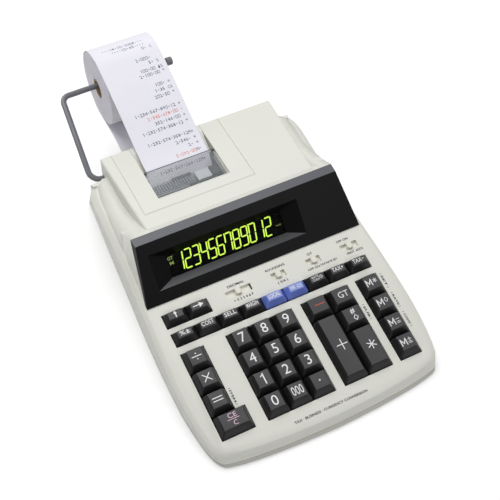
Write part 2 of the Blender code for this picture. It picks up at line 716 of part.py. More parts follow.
def well_boxes():
    # The cut-outs in the deck, one for each block of keys.
    margin = WELL_MARGIN
    low, high = -DECK_WALL - OVERRUN, OVERRUN
    columns = (
        (LEFT_X, LEFT_X + PITCH_X, 0, KEY_ROWS * PITCH_Y),
        (NUMERIC_X, NUMERIC_X + NUMERIC_COLUMNS * PITCH_X, 0, KEY_ROWS * PITCH_Y),
        (PLUS_X, PLUS_X + 2 * PLUS_PITCH, 0, KEY_ROWS * PITCH_Y),
        (MEMORY_X, MEMORY_X + PITCH_X, 0, KEY_ROWS * PITCH_Y),
        (FUNCTION_X, FUNCTION_X + FUNCTION_COLUMNS * FUNCTION_PITCH, FUNCTION_Y,
         FUNCTION_Y + FUNCTION_DEPTH),
        (LEFT_X, LEFT_X + 2 * PITCH_X, ARROW_Y, ARROW_Y + ARROW_DEPTH),
    )
    boxes = [((left - margin, front - margin, low), (right + margin, rear + margin, high))
             for left, right, front, rear in columns]
    clear_key = ((LEFT_X, -margin, low), (LEFT_X + CLEAR_KEY_WIDTH + margin, PITCH_Y + margin, high))
    return boxes, [clear_key]


def frame_areas():
    # Plan of the key frame and board: the main field and the part under the arrow keys.
    margin = FRAME_MARGIN
    right = max(MEMORY_X + PITCH_X, FUNCTION_X + FUNCTION_COLUMNS * FUNCTION_PITCH) + margin
    return (
        ((LEFT_X - margin, -margin), (right, FUNCTION_Y + FUNCTION_DEPTH + margin)),
        ((LEFT_X - margin, FUNCTION_Y + FUNCTION_DEPTH), (LEFT_X + 2 * PITCH_X + margin,
                                                          ARROW_Y + ARROW_DEPTH + margin)),
    )


def make_key_frame(material):
    # Plate with a raised rim under the deck, and a sleeve for each stem.
    plate_low = FRAME_TOP - FRAME_THICKNESS
    rim_top = -DECK_WALL - GAP
    (low_a, high_a), (low_b, high_b) = frame_areas()
    frame = add_object("key_frame", boxes_mesh("key_frame", [((*low_a, plate_low), (*high_a, rim_top))]),
                       deck, material)
    ear = add_object("key_frame_ear", boxes_mesh("key_frame_ear", [
        ((*low_b, plate_low), (*high_b, rim_top))]), deck)
    combine(frame, ear, "UNION")
    wall = FRAME_RIM
    hollow_a = ((low_a[0] + wall, low_a[1] + wall, FRAME_TOP),
                (high_a[0] - wall, high_a[1] - wall, OVERRUN))
    hollow_b = ((low_b[0] + wall, low_b[1] - wall * 2, FRAME_TOP),
                (high_b[0] - wall, high_b[1] - wall, OVERRUN))
    for index, box in enumerate((hollow_a, hollow_b)):
        cutter = add_object("key_frame_hollow_%d" % index, boxes_mesh("hollow", [box]), deck)
        combine(frame, cutter, "DIFFERENCE")
    half = STEM_WIDTH / 2 + STEM_CLEARANCE
    outer = half + SLEEVE_WALL
    sleeves = []
    holes = []
    for name, left, right, front, rear, height in key_places():
        x, y = (left + right) / 2, (front + rear) / 2
        sleeves.append(((x - outer, y - outer, plate_low - SLEEVE_LENGTH),
                        (x + outer, y + outer, plate_low + FRAME_THICKNESS / 2)))
        holes.append(((x - half, y - half, plate_low - SLEEVE_LENGTH - OVERRUN),
                      (x + half, y + half, FRAME_TOP + OVERRUN)))
    combine(frame, add_object("key_sleeves", boxes_mesh("key_sleeves", sleeves), deck), "UNION")
    board_top = key_board_top()
    half_post = FRAME_POST / 2
    posts = []
    for x, y in frame_posts():
        posts.append(((x - half_post, y - half_post, board_top + GAP), (x + half_post, y + half_post,
                                                                        plate_low + FRAME_THICKNESS / 2)))
    combine(frame, add_object("key_frame_posts", boxes_mesh("key_frame_posts", posts), deck), "UNION")
    combine(frame, add_object("key_stem_holes", boxes_mesh("key_stem_holes", holes), deck), "DIFFERENCE")


def pad_top():
    catch_low = FRAME_TOP - FRAME_THICKNESS - SLEEVE_LENGTH - GAP - STEM_CATCH_HEIGHT
    return catch_low - KEY_TRAVEL - GAP


def key_board_top():
    return pad_top() - PAD_HEIGHT


def frame_posts():
    (low, high), _ = frame_areas()
    between = (LEFT_X + CLEAR_KEY_WIDTH + NUMERIC_X) / 2
    gaps = (between, (NUMERIC_X + NUMERIC_COLUMNS * PITCH_X + PLUS_X) / 2,
            (PLUS_X + 2 * PLUS_PITCH + MEMORY_X) / 2)
    rows = (FRAME_POST, (KEY_ROWS * PITCH_Y + FUNCTION_Y) / 2)
    return [(x, y) for x in gaps for y in rows]


def make_key_board(material):
    # Circuit board with a contact pad under each stem and the switch bodies.
    top = key_board_top()
    low = top - BOARD_THICKNESS
    margin = FRAME_MARGIN
    (low_a, high_a), _ = frame_areas()
    switch_rear = SWITCH_Y + SWITCH_SLOT_WIDTH / 2 + SWITCH_BODY_WIDTH / 2
    field = ((low_a[0], low_a[1], low), (high_a[0], switch_rear + margin, top))
    board = add_object("key_board", boxes_mesh("key_board", [field]), deck, material)
    pads = []
    half = PAD_WIDTH / 2
    for name, left, right, front, rear, height in key_places():
        x, y = (left + right) / 2, (front + rear) / 2
        pads.append(((x - half, y - half, top - BOARD_THICKNESS / 2), (x + half, y + half, pad_top())))
    combine(board, add_object("contact_pads", boxes_mesh("contact_pads", pads), deck), "UNION")
    bodies = []
    shoe_low = -DECK_WALL - GAP - SHOE_THICKNESS
    middle = SWITCH_Y + SWITCH_SLOT_WIDTH / 2
    for start, length in SWITCH_SLOTS.values():
        bodies.append(((start, middle - SWITCH_BODY_WIDTH / 2, top - BOARD_THICKNESS / 2),
                       (start + length, middle + SWITCH_BODY_WIDTH / 2, shoe_low - GAP)))
    combine(board, add_object("switch_bodies", boxes_mesh("switch_bodies", bodies), deck), "UNION")


def switch_run(name):
    start, length = SWITCH_SLOTS[name]
    free = length - KNOB_LENGTH - 2 * KNOB_CLEARANCE
    rest = start + KNOB_CLEARANCE + KNOB_LENGTH / 2 + free * SWITCH_REST_SHARES[name]
    return rest, free


def make_switches(material):
    # Knob through the slot, on a shoe that closes the slot from below.
    for name in SWITCH_SLOTS:
        rest, free = switch_run(name)
        reach = KNOB_LENGTH / 2 + min(free + SHOE_OVERLAP, SHOE_REACH)
        width = SWITCH_SLOT_WIDTH / 2
        top = -DECK_WALL - GAP
        bm = bmesh.new()
        add_box(bm, (-reach, -width - SHOE_OVERLAP, top - SHOE_THICKNESS),
                (reach, width + SHOE_OVERLAP, top))
        shoe = finish_mesh(bm, name)
        knob = add_object(name, shoe, deck, material, (rest, SWITCH_Y + width, 0))
        bm = bmesh.new()
        half = KNOB_LENGTH / 2
        inner = width - KNOB_CLEARANCE
        levels = ((half, top - SHOE_THICKNESS / 2), (half, KNOB_HEIGHT - KNOB_RIB),
                  (half - KNOB_RIB, KNOB_HEIGHT))
        add_loft(bm, [rounded_rectangle(-h, h, -inner, inner, KNOB_RIB, z) for h, z in levels])
        grip = add_object(name + "_grip", finish_mesh(bm, name + "_grip"), deck, None,
                          (rest, SWITCH_Y + width, 0))
        combine(knob, grip, "UNION")


def make_top_case(material):
    case = add_object("top_case", body_mesh("top_case", 0), root, material)
    combine(case, add_object("cheek_form", cheeks_mesh("cheek_form", 0), root), "UNION")
    combine(case, plateau_form("plateau_form", 0), "UNION")
    combine(case, add_object("body_hollow", body_mesh("body_hollow", WALL), root), "DIFFERENCE")
    combine(case, add_object("cheek_hollow", cheeks_mesh("cheek_hollow", WALL), root), "DIFFERENCE")
    combine(case, plateau_form("plateau_hollow", WALL), "DIFFERENCE")
    add_cover_seat(case)
    add_holder_boss(case)
    below = BASE_Z + PARTING_HEIGHT
    reach = BASE_LENGTH
    combine(case, add_object("parting_cut", boxes_mesh("parting_cut", [
        ((-reach, -reach, BASE_Z - reach), (reach, 2 * reach, below))]), root), "DIFFERENCE")
    for name, boxes in zip(("key_wells", "clear_key_well"), well_boxes()):
        combine(case, add_object(name, boxes_mesh(name, boxes), deck), "DIFFERENCE")
    slots = [((start, SWITCH_Y, -DECK_WALL - OVERRUN),
              (start + length, SWITCH_Y + SWITCH_SLOT_WIDTH, OVERRUN))
             for start, length in SWITCH_SLOTS.values()]
    combine(case, add_object("switch_slots", boxes_mesh("switch_slots", slots), deck), "DIFFERENCE")
    margin = FUNNEL_WALL + GAP * 2
    low_corner = (WINDOW_LEFT - margin, WINDOW_LOW - margin,
                  -FUNNEL_DEPTH - LENS_THICKNESS - DISPLAY_CUT_DEPTH)
    high_corner = (WINDOW_RIGHT + margin, WINDOW_HIGH + margin, OVERRUN)
    combine(case, add_object("display_opening", boxes_mesh("display_opening", [
        (low_corner, high_corner)]), face), "DIFFERENCE")
    paper_left = PAPER_CENTRE_X - PAPER_WIDTH / 2 - SLOT_MARGIN
    paper_right = PAPER_CENTRE_X + PAPER_WIDTH / 2 + SLOT_MARGIN
    combine(case, add_object("tape_slot", boxes_mesh("tape_slot", [
        ((paper_left, SLOT_Y - 2 * OVERRUN, SLOT_LOW),
         (paper_right, SLOT_Y + 2 * OVERRUN, SLOT_HIGH))]), root), "DIFFERENCE")


def add_cover_seat(case):
    # Ledge under the cover, the paper ramp behind the mouth, then the cuts for cover and mouth.
    depth = COVER_THICKNESS + GAP
    rear = PLATEAU_REAR - HOUSING_Y
    ledge_low = -depth - LEDGE_THICKNESS
    ledge = [((COVER_LEFT - COVER_LEDGE, COVER_FRONT - COVER_LEDGE * 2, ledge_low),
              (COVER_RIGHT + COVER_LEDGE, rear - WALL / 2, -WALL / 2))]
    combine(case, add_object("cover_ledge", boxes_mesh("cover_ledge", ledge), plateau), "UNION")
    through = [((COVER_LEFT + COVER_LEDGE, COVER_FRONT + COVER_LEDGE, -OVERRUN * 2),
                (COVER_RIGHT - COVER_LEDGE, rear - COVER_LEDGE, -depth + GAP / 2))]
    opening = add_object("printer_opening", boxes_mesh("printer_opening", through), plateau)
    combine(case, opening, "DIFFERENCE")
    ramp_low = -RAMP_DEPTH - RAMP_THICKNESS
    side = MOUTH_RIGHT - GAP * 2
    left = MOUTH_LEFT + GAP * 2
    outline = [(RAMP_FRONT, ramp_low), (RAMP_CREST, ledge_low), (rear - WALL / 2, ledge_low),
               (rear - WALL / 2, -WALL / 2), (RAMP_FRONT + GAP, -WALL / 2), (RAMP_FRONT, -RAMP_DEPTH)]
    ramp = add_object("paper_ramp", prism_across("paper_ramp", outline, 0, left, side), plateau)
    combine(case, ramp, "UNION")
    leg_high = OVERRUN
    recess = [
        ((COVER_LEFT - GAP, COVER_FRONT - GAP, -depth), (MOUTH_LEFT + GAP, rear + OVERRUN, leg_high)),
        ((MOUTH_RIGHT - GAP, COVER_FRONT - GAP, -depth), (COVER_RIGHT + GAP, rear + OVERRUN, leg_high)),
    ]
    combine(case, add_object("cover_recess", boxes_mesh("cover_recess", recess), plateau), "DIFFERENCE")
    mouth = [(COVER_FRONT - GAP, -depth), (RAMP_FRONT, -depth), (RAMP_FRONT, -RAMP_DEPTH),
             (RAMP_CREST, 0), (RAMP_CREST, OVERRUN), (COVER_FRONT - GAP, OVERRUN)]
    hinge_v, hinge_w = hinge_place()
    bm = bmesh.new()
    for x in (COVER_LEFT, COVER_RIGHT):
        add_rod(bm, "X", (x, hinge_v, hinge_w), HINGE_PIN_RADIUS + GAP, 2 * (HINGE_PIN_LENGTH + GAP), 8)
    combine(case, add_object("hinge_holes", finish_mesh(bm, "hinge_holes"), plateau), "DIFFERENCE")
    cut = add_object("mouth_cut", prism_across("mouth_cut", mouth, 0, MOUTH_LEFT, MOUTH_RIGHT), plateau)
    combine(case, cut, "DIFFERENCE")


def add_holder_boss(case):
    # Solid corner that takes the holder's foot, with its bore.
    reach = HOLDER_FOOT_LENGTH + GAP
    half = WIRE_RADIUS + BOSS_WALL
    low = (-PLATEAU_HALF_WIDTH + WALL / 2, HOLDER_FOOT_Y - half, HOLDER_FOOT_Z - half)
    high = (-PLATEAU_HALF_WIDTH + reach + BOSS_WALL / 2, PLATEAU_REAR - WALL / 2, HOLDER_FOOT_Z + half)
    combine(case, add_object("holder_boss", boxes_mesh("holder_boss", [(low, high)]), root), "UNION")
    bm = bmesh.new()
    length = reach + OVERRUN * 2
    centre = (-PLATEAU_HALF_WIDTH + reach - length / 2, HOLDER_FOOT_Y, HOLDER_FOOT_Z)
    add_rod(bm, "X", centre, WIRE_RADIUS + GAP, length, COARSE)
    bore = add_object("holder_bore", finish_mesh(bm, "holder_bore"), root)
    combine(case, bore, "DIFFERENCE")


def make_bottom_case(material):
    parting = BASE_Z + PARTING_HEIGHT - GAP
    lip_top = parting + LIP_HEIGHT
    floor_top = BASE_Z + FLOOR

    def side_ring(inset, z, wall_z=None):
        # Ring on the side wall, drawn in by an inset and set at a height.
        rings = zip(base_ring(inset, BASE_Z), rim_ring(0, inset))
        height = (z if wall_z is None else wall_z) - BASE_Z
        ring = [low.lerp(high, height / (high.z - BASE_Z)) for low, high in rings]
        return [Vector((point.x, point.y, z)) for point in ring]

    tray = add_object("bottom_case", loft_mesh("bottom_case", [base_ring(0, BASE_Z), side_ring(0, parting)]),
                      root, material)
    outer = WALL + 2 * GAP
    lip = add_object("bottom_lip", loft_mesh("bottom_lip", [
        side_ring(outer, parting - FLOOR / 2), side_ring(outer, lip_top)]), root)
    combine(tray, lip, "UNION")
    inner = outer + LIP_WALL
    hollow = add_object("bottom_hollow", loft_mesh("bottom_hollow", [
        side_ring(inner, floor_top), side_ring(inner, lip_top + OVERRUN, lip_top)]), root)
    combine(tray, hollow, "DIFFERENCE")
    bm = bmesh.new()
    for x_share, y_share in FOOT_SHARES:
        for side in (-1, 1):
            centre = (side * x_share * BASE_HALF_WIDTH, BASE_FRONT + y_share * BASE_LENGTH,
                      BASE_Z - FOOT_HEIGHT / 2 + FLOOR / 4)
            add_rod(bm, "Z", centre, FOOT_RADIUS, FOOT_HEIGHT + FLOOR / 2, FINE // 2)
    combine(tray, add_object("case_feet", finish_mesh(bm, "case_feet"), root), "UNION")
    bm = bmesh.new()
    posts = [(x, y, MAIN_BOARD_Z) for x in (BOARD_LEFT + BOSS_RADIUS, BOARD_RIGHT - BOSS_RADIUS)
             for y in (BOARD_FRONT + BOSS_RADIUS, BOARD_REAR - BOSS_RADIUS)]
    posts += [(x, y, PRINTER_BASE_Z) for x in (FRAME_LEFT + 2 * BOSS_RADIUS, FRAME_RIGHT - 2 * BOSS_RADIUS)
              for y in (PRINTER_FRONT + 2 * BOSS_RADIUS, PRINTER_REAR - 2 * BOSS_RADIUS)]
    for x, y, top in posts:
        low = BASE_Z + FLOOR / 2
        add_rod(bm, "Z", (x, y, (low + top - GAP) / 2), BOSS_RADIUS, top - GAP - low, COARSE)
    combine(tray, add_object("floor_bosses", finish_mesh(bm, "floor_bosses"), root), "UNION")


def make_bezel(material):
    # Wedge in front of the slope, with a funnel round the glass.
    slope = (HOUSING_Z - BEZEL_FOOT_Z) / (HOUSING_Y - BEZEL_FOOT_Y)
    lift = GAP * math.hypot(1, slope)
    lip_low = deck_height(FACE_BOTTOM_Y) + GAP
    section = (
        (BEZEL_FOOT_HALF_WIDTH, FACE_BOTTOM_Y, lip_low),
        (BEZEL_FOOT_HALF_WIDTH, BEZEL_FOOT_Y - lift, deck_height(BEZEL_FOOT_Y) + 2 * GAP),
        (HOUSING_HALF_WIDTH, HOUSING_Y - lift, HOUSING_Z),
        (FACE_TOP_HALF_WIDTH, FACE_TOP_Y, FACE_TOP_Z),
        (BEZEL_FOOT_HALF_WIDTH, FACE_BOTTOM_Y, lip_low + FACE_BOTTOM_LIP - GAP),
    )
    rings = [[(side * x, y, z) for x, y, z in section] for side in (-1, 1)]
    bezel = add_object("display_bezel", loft_mesh("display_bezel", rings), root, material)
    back = -FUNNEL_DEPTH - LENS_THICKNESS - 2 * GAP
    wall = FUNNEL_WALL
    block = [((WINDOW_LEFT - wall, WINDOW_LOW - wall, back),
              (WINDOW_RIGHT + wall, WINDOW_HIGH + wall, -wall))]
    combine(bezel, add_object("funnel_block", boxes_mesh("funnel_block", block), face), "UNION")
    steepness = OVERRUN / FUNNEL_DEPTH

    def frame_ring(share, z):
        return [(lerp(WINDOW_LEFT, GLASS_LEFT, share), lerp(WINDOW_LOW, GLASS_LOW, share), z),
                (lerp(WINDOW_RIGHT, GLASS_RIGHT, share), lerp(WINDOW_LOW, GLASS_LOW, share), z),
                (lerp(WINDOW_RIGHT, GLASS_RIGHT, share), lerp(WINDOW_HIGH, GLASS_HIGH, share), z),
                (lerp(WINDOW_LEFT, GLASS_LEFT, share), lerp(WINDOW_HIGH, GLASS_HIGH, share), z)]

    funnel = add_object("display_funnel", loft_mesh("display_funnel", [
        frame_ring(1, -FUNNEL_DEPTH - GAP), frame_ring(1, -FUNNEL_DEPTH),
        frame_ring(-steepness, OVERRUN)]), face)
    combine(bezel, funnel, "DIFFERENCE")
    m = LENS_MARGIN
    pocket = [((GLASS_LEFT - m, GLASS_LOW - m, back - OVERRUN),
               (GLASS_RIGHT + m, GLASS_HIGH + m, -FUNNEL_DEPTH))]
    combine(bezel, add_object("lens_pocket", boxes_mesh("lens_pocket", pocket), face), "DIFFERENCE")


def make_display(lens_material, tube_material):
    m = LENS_MARGIN - GAP
    top = -FUNNEL_DEPTH - GAP
    lens = [((GLASS_LEFT - m, GLASS_LOW - m, top - LENS_THICKNESS),
             (GLASS_RIGHT + m, GLASS_HIGH + m, top))]
    add_object("display_lens", boxes_mesh("display_lens", lens), face, lens_material)
    front = top - LENS_THICKNESS - GAP * 2
    m = LENS_MARGIN + TUBE_MARGIN
    bm = bmesh.new()
    levels = ((TUBE_EDGE, front - TUBE_DEPTH), (0, front - TUBE_DEPTH + TUBE_EDGE), (0, front))
    add_loft(bm, [rounded_rectangle(GLASS_LEFT - m + inset, GLASS_RIGHT + m - inset, GLASS_LOW - m + inset,
                                    GLASS_HIGH + m - inset, TUBE_EDGE, z) for inset, z in levels])
    add_object("display_tube", finish_mesh(bm, "display_tube"), face, tube_material)


def hinge_place():
    return COVER_FRONT + COVER_THICKNESS / 2, -COVER_THICKNESS / 2


def make_cover(material):
    # U-shaped panel round the paper's mouth. Its front edge is round about the hinge axis.
    hinge_v, hinge_w = hinge_place()
    rear = PLATEAU_REAR - HOUSING_Y
    radius = COVER_THICKNESS / 2
    outline = [(radius * math.cos(math.radians(a)), radius * math.sin(math.radians(a)))
               for a in range(90, 271, 30)]
    end = rear - hinge_v
    outline += [(end - PLATEAU_ROUND / 2, -radius), (end, -radius + PLATEAU_ROUND / 4),
                (end, radius - PLATEAU_ROUND), (end - PLATEAU_ROUND / 3, radius - PLATEAU_ROUND / 3),
                (end - PLATEAU_ROUND, radius)]
    place = (0, hinge_v, hinge_w)
    cover = add_object("printer_cover", prism_across("printer_cover", outline, 0, COVER_LEFT, COVER_RIGHT),
                       plateau, material, place)
    flange_low = -FLANGE_DEPTH
    front = MOUTH_FRONT
    run = MOUTH_LIP_RUN
    wall = FLANGE_WALL
    inner = -COVER_THICKNESS / 2
    side_outline = [(front, inner), (front + run, flange_low), (FLANGE_END, flange_low),
                    (RAMP_CREST, inner)]
    for name, left in (("left", MOUTH_LEFT - wall), ("right", MOUTH_RIGHT)):
        mesh = prism_across("flange", side_outline, 0, left, left + wall)
        side = add_object("cover_flange_" + name, mesh, plateau)
        combine(cover, side, "UNION")
    slope = LIP_THICKNESS
    lip_outline = [(front - slope, inner), (front + run - slope, flange_low), (front + run, flange_low),
                   (front, 0), (front - slope, 0)]
    lip_mesh = prism_across("cover_lip", lip_outline, 0, MOUTH_LEFT - wall, MOUTH_RIGHT + wall)
    lip = add_object("cover_lip", lip_mesh, plateau)
    below = COVER_THICKNESS + run / 2
    mouth_outline = [(front, OVERRUN), (front, 0), (front + run + run / 2, -below),
                     (front + run + run / 2, -OVERRUN), (rear + OVERRUN, -OVERRUN), (rear + OVERRUN, OVERRUN)]
    mouth_mesh = prism_across("cover_mouth", mouth_outline, 0, MOUTH_LEFT, MOUTH_RIGHT)
    mouth = add_object("cover_mouth", mouth_mesh, plateau)
    combine(cover, mouth, "DIFFERENCE")
    combine(cover, lip, "UNION")
    bm = bmesh.new()
    for x, side in ((COVER_LEFT, -1), (COVER_RIGHT, 1)):
        centre = (x + side * (HINGE_PIN_LENGTH / 2 - GAP), 0, 0)
        add_rod(bm, "X", centre, HINGE_PIN_RADIUS, HINGE_PIN_LENGTH, 8)
    pins = add_object("cover_pins", finish_mesh(bm, "cover_pins"), plateau, None, place)
    combine(cover, pins, "UNION")


def make_window(material):
    # Clear plate from the lip of the mouth up to the tear edge, with a pin at each end.
    front = MOUTH_FRONT + MOUTH_LIP_RUN + GAP
    low = -FLANGE_DEPTH + WINDOW_PLATE
    plate = WINDOW_PLATE
    left, right = MOUTH_LEFT + GAP, MOUTH_RIGHT - GAP
    outline = [(front, low - plate), (WINDOW_TOP, -plate), (WINDOW_TOP, 0), (front, low)]
    plate_mesh = prism_across("tear_window", outline, 0, left, right)
    window = add_object("tear_window", plate_mesh, plateau, material)
    bm = bmesh.new()
    radius = WINDOW_PIN_RADIUS
    for x in (left + 2 * radius, right - 2 * radius):
        add_rod(bm, "X", (x, WINDOW_TOP - radius, 0), radius, 4 * radius, 8)
    combine(window, add_object("window_pins", finish_mesh(bm, "window_pins"), plateau), "UNION")


def turned_mesh(name, profile):
    # Turns (x, radius) points about the X axis with a Screw modifier on the finished object.
    mesh = bpy.data.meshes.new(name)
    mesh.from_pydata([(x, 0, r) for x, r in profile], [(i, i + 1) for i in range(len(profile) - 1)], [])
    return mesh


def add_turned(name, profile, parent, material, location, segments):
    obj = add_object(name, turned_mesh(name, profile), parent, material, location)
    screw = obj.modifiers.new("Turned", "SCREW")
    screw.axis = "X"
    screw.steps = segments
    screw.render_steps = segments
    screw.use_merge_vertices = True
    screw.merge_threshold = WELD
    screw.use_smooth_shade = True
    screw.use_normal_flip = True
    return obj


def roller_profile(steps):
    # Steps of (x start, x end, radius) to a closed profile from axis to axis.
    points = [(steps[0][0], 0)]
    for start, end, radius in steps:
        points += [(start, radius), (end, radius)]
    points.append((steps[-1][1], 0))
    return points


def make_printer(materials):
    outer_left, outer_right = FRAME_LEFT - GAP, FRAME_RIGHT + GAP
    shaft = SHAFT_RADIUS
    paper = PAPER_WIDTH / 2 + GAP
    platen = [(outer_left, PAPER_CENTRE_X - paper, shaft),
              (PAPER_CENTRE_X - paper, PAPER_CENTRE_X + paper, PLATEN_RADIUS),
              (PAPER_CENTRE_X + paper, outer_right, shaft)]
    add_turned("platen_roller", roller_profile(platen), root, materials["rubber"],
               (0, PLATEN_Y, PLATEN_Z), FINE // 2)
    pitch = 2 * paper / DRUM_WHEELS
    drum = [(outer_left, 0), (outer_left, shaft), (PAPER_CENTRE_X - paper, shaft)]
    for k in range(DRUM_WHEELS):
        start = PAPER_CENTRE_X - paper + k * pitch
        end = start + pitch
        drum += [(start, DRUM_RADIUS), (end - DRUM_GROOVE, DRUM_RADIUS)]
        if k < DRUM_WHEELS - 1:
            drum.append((end - DRUM_GROOVE / 2, DRUM_RADIUS - DRUM_GROOVE))
    drum += [(PAPER_CENTRE_X + paper, shaft), (outer_right, shaft), (outer_right, 0)]
    add_turned("type_drum", drum, root, materials["dark"], (0, DRUM_Y, DRUM_Z), COARSE)
    ink = [(outer_left, PAPER_CENTRE_X - paper, shaft),
           (PAPER_CENTRE_X - paper, PAPER_CENTRE_X + paper, INK_RADIUS),
           (PAPER_CENTRE_X + paper, outer_right, shaft)]
    add_turned("ink_roller", roller_profile(ink), root, materials["dark"], (0, INK_Y, INK_Z), COARSE)
    base_top = PRINTER_BASE_Z + PRINTER_BASE_THICKNESS
    boxes = [((FRAME_LEFT, PRINTER_FRONT, PRINTER_BASE_Z), (FRAME_RIGHT, PRINTER_REAR, base_top))]
    frame = add_object("printer_frame", boxes_mesh("printer_frame", boxes), root, materials["steel"])
    side_outline = [(PRINTER_FRONT, PRINTER_BASE_Z), (PRINTER_REAR, PRINTER_BASE_Z), (PRINTER_REAR, PLATEN_Z),
                    (PLATEN_Y + PLATEN_RADIUS, PRINTER_TOP), (PRINTER_FRONT + PLATEN_RADIUS, PRINTER_TOP),
                    (PRINTER_FRONT, INK_Z)]
    for name, left in (("left", FRAME_LEFT), ("right", FRAME_RIGHT - SIDE_PLATE)):
        mesh = prism_across("side", side_outline, 0, left, left + SIDE_PLATE)
        side = add_object("printer_side_" + name, mesh, root)
        combine(frame, side, "UNION")
    length = FRAME_RIGHT - FRAME_LEFT
    middle = (FRAME_RIGHT + FRAME_LEFT) / 2
    bm = bmesh.new()
    add_rod(bm, "X", (middle, TIE_BAR_Y, TIE_BAR_Z), TIE_BAR_RADIUS, length - SIDE_PLATE, 8)
    add_rod(bm, "X", (middle, INK_Y, TIE_BAR_Z), TIE_BAR_RADIUS, length - SIDE_PLATE, 8)
    combine(frame, add_object("tie_bars", finish_mesh(bm, "tie_bars"), root), "UNION")
    bm = bmesh.new()
    for y, z in ((PLATEN_Y, PLATEN_Z), (DRUM_Y, DRUM_Z), (INK_Y, INK_Z)):
        add_rod(bm, "X", (middle, y, z), shaft + SHAFT_CLEARANCE, length + OVERRUN, COARSE)
    combine(frame, add_object("shaft_holes", finish_mesh(bm, "shaft_holes"), root), "DIFFERENCE")


def arc_points(cy, cz, radius, start, end, steps):
    return [(cy + radius * math.cos(lerp(start, end, k / steps)),
             cz + radius * math.sin(lerp(start, end, k / steps))) for k in range(steps + 1)]


def tangent_angle(cy, cz, radius, y, z, side):
    # Angle on a circle where a line from an outside point touches it.
    towards = math.atan2(z - cz, y - cy)
    return towards + side * math.acos(radius / math.hypot(y - cy, z - cz))


def tape_path():
    # Middle line of the tape, from under the roll to the free end behind it.
    roll_radius = ROLL_RADIUS + GAP + PAPER_THICKNESS / 2
    platen_radius = PLATEN_RADIUS + GAP + PAPER_THICKNESS / 2
    path = arc_points(ROLL_Y, ROLL_Z, roll_radius, TAPE_START_ANGLE, TAPE_LEAVE_ANGLE, 5)
    meet = tangent_angle(PLATEN_Y, PLATEN_Z, platen_radius, TAPE_ENTRY_Y, TAPE_ENTRY_Z, -1)
    part = tangent_angle(PLATEN_Y, PLATEN_Z, platen_radius, TEAR_EXIT_Y, TEAR_EXIT_Z, 1)
    wrap = arc_points(PLATEN_Y, PLATEN_Z, platen_radius, meet % math.tau, part, 10)
    leave_y, leave_z = path.pop()
    web = [(leave_y, leave_z)]
    web += [(lerp(leave_y, SLOT_Y, a), lerp(leave_z, SLOT_Z, b)) for a, b in TAPE_WEB_SHARES]
    web += [(SLOT_Y, SLOT_Z), (TAPE_ENTRY_Y, TAPE_ENTRY_Z), wrap[0]]
    web = curve_through(web, 3)
    web.pop()
    path += web + wrap
    touch = TAPE_TOUCH_ANGLE
    end_y = ROLL_Y + roll_radius * math.cos(touch)
    end_z = ROLL_Z + roll_radius * math.sin(touch)
    run = [(lerp(TEAR_EXIT_Y, end_y, a), lerp(TEAR_EXIT_Z, end_z, b)) for a, b in TAPE_RUN_SHARES]
    run.append((end_y, end_z))
    upper = curve_through(run, 3)
    upper.pop()
    path += upper
    path += arc_points(ROLL_Y, ROLL_Z, roll_radius, touch, TAPE_END_ANGLE, 12)
    return path


def ribbon_outline(path, thickness):
    half = thickness / 2
    left, right = [], []
    for i, (y, z) in enumerate(path):
        y0, z0 = path[max(i - 1, 0)]
        y1, z1 = path[min(i + 1, len(path) - 1)]
        along = Vector((y1 - y0, z1 - z0)).normalized()
        left.append((y - along.y * half, z + along.x * half))
        right.append((y + along.y * half, z - along.x * half))
    return left + right[::-1]


def make_paper(materials):
    left = PAPER_CENTRE_X - PAPER_WIDTH / 2
    right = PAPER_CENTRE_X + PAPER_WIDTH / 2
    path = tape_path()
    bm = bmesh.new()
    half = PAPER_THICKNESS / 2
    loops = []
    outline = ribbon_outline(path, PAPER_THICKNESS)
    count = len(path)
    for i in range(count):
        near, far = outline[i], outline[2 * count - 1 - i]
        loops.append([(left, *near), (right, *near), (right, *far), (left, *far)])
    add_loft(bm, loops)
    add_object("paper_tape", finish_mesh(bm, "paper_tape"), root, materials["paper"])
    roll = [(left, CORE_RADIUS + GAP), (left, ROLL_RADIUS), (right, ROLL_RADIUS), (right, CORE_RADIUS + GAP),
            (left, CORE_RADIUS + GAP)]
    add_turned("paper_roll", roll, root, materials["paper"], (0, ROLL_Y, ROLL_Z), FINE)
    core = [(left, CORE_BORE), (left, CORE_RADIUS), (right, CORE_RADIUS), (right, CORE_BORE),
            (left, CORE_BORE)]
    add_turned("paper_core", core, root, materials["card"], (0, ROLL_Y, ROLL_Z), FINE // 2)


def rod_height():
    # The roll hangs on the rod by the top of its core's bore.
    return ROLL_Z + CORE_BORE - WIRE_RADIUS - GAP


def bent_path(corners, radii, steps):
    # Rounds each inner corner of a 3D path with an arc of the given radius.
    points = [Vector(corners[0])]
    for k, radius in enumerate(radii, 1):
        before, corner, after = (Vector(corners[k + d]) for d in (-1, 0, 1))
        a, b = (before - corner).normalized(), (after - corner).normalized()
        half = a.angle(b) / 2
        reach = radius / math.tan(half)
        centre = corner + (a + b).normalized() * radius / math.sin(half)
        start, end = corner + a * reach - centre, corner + b * reach - centre
        turn = start.angle(end)
        for s in range(steps + 1):
            t = s / steps
            weight_a = math.sin((1 - t) * turn) / math.sin(turn)
            weight_b = math.sin(t * turn) / math.sin(turn)
            points.append(centre + start * weight_a + end * weight_b)
    points.append(Vector(corners[-1]))
    return points


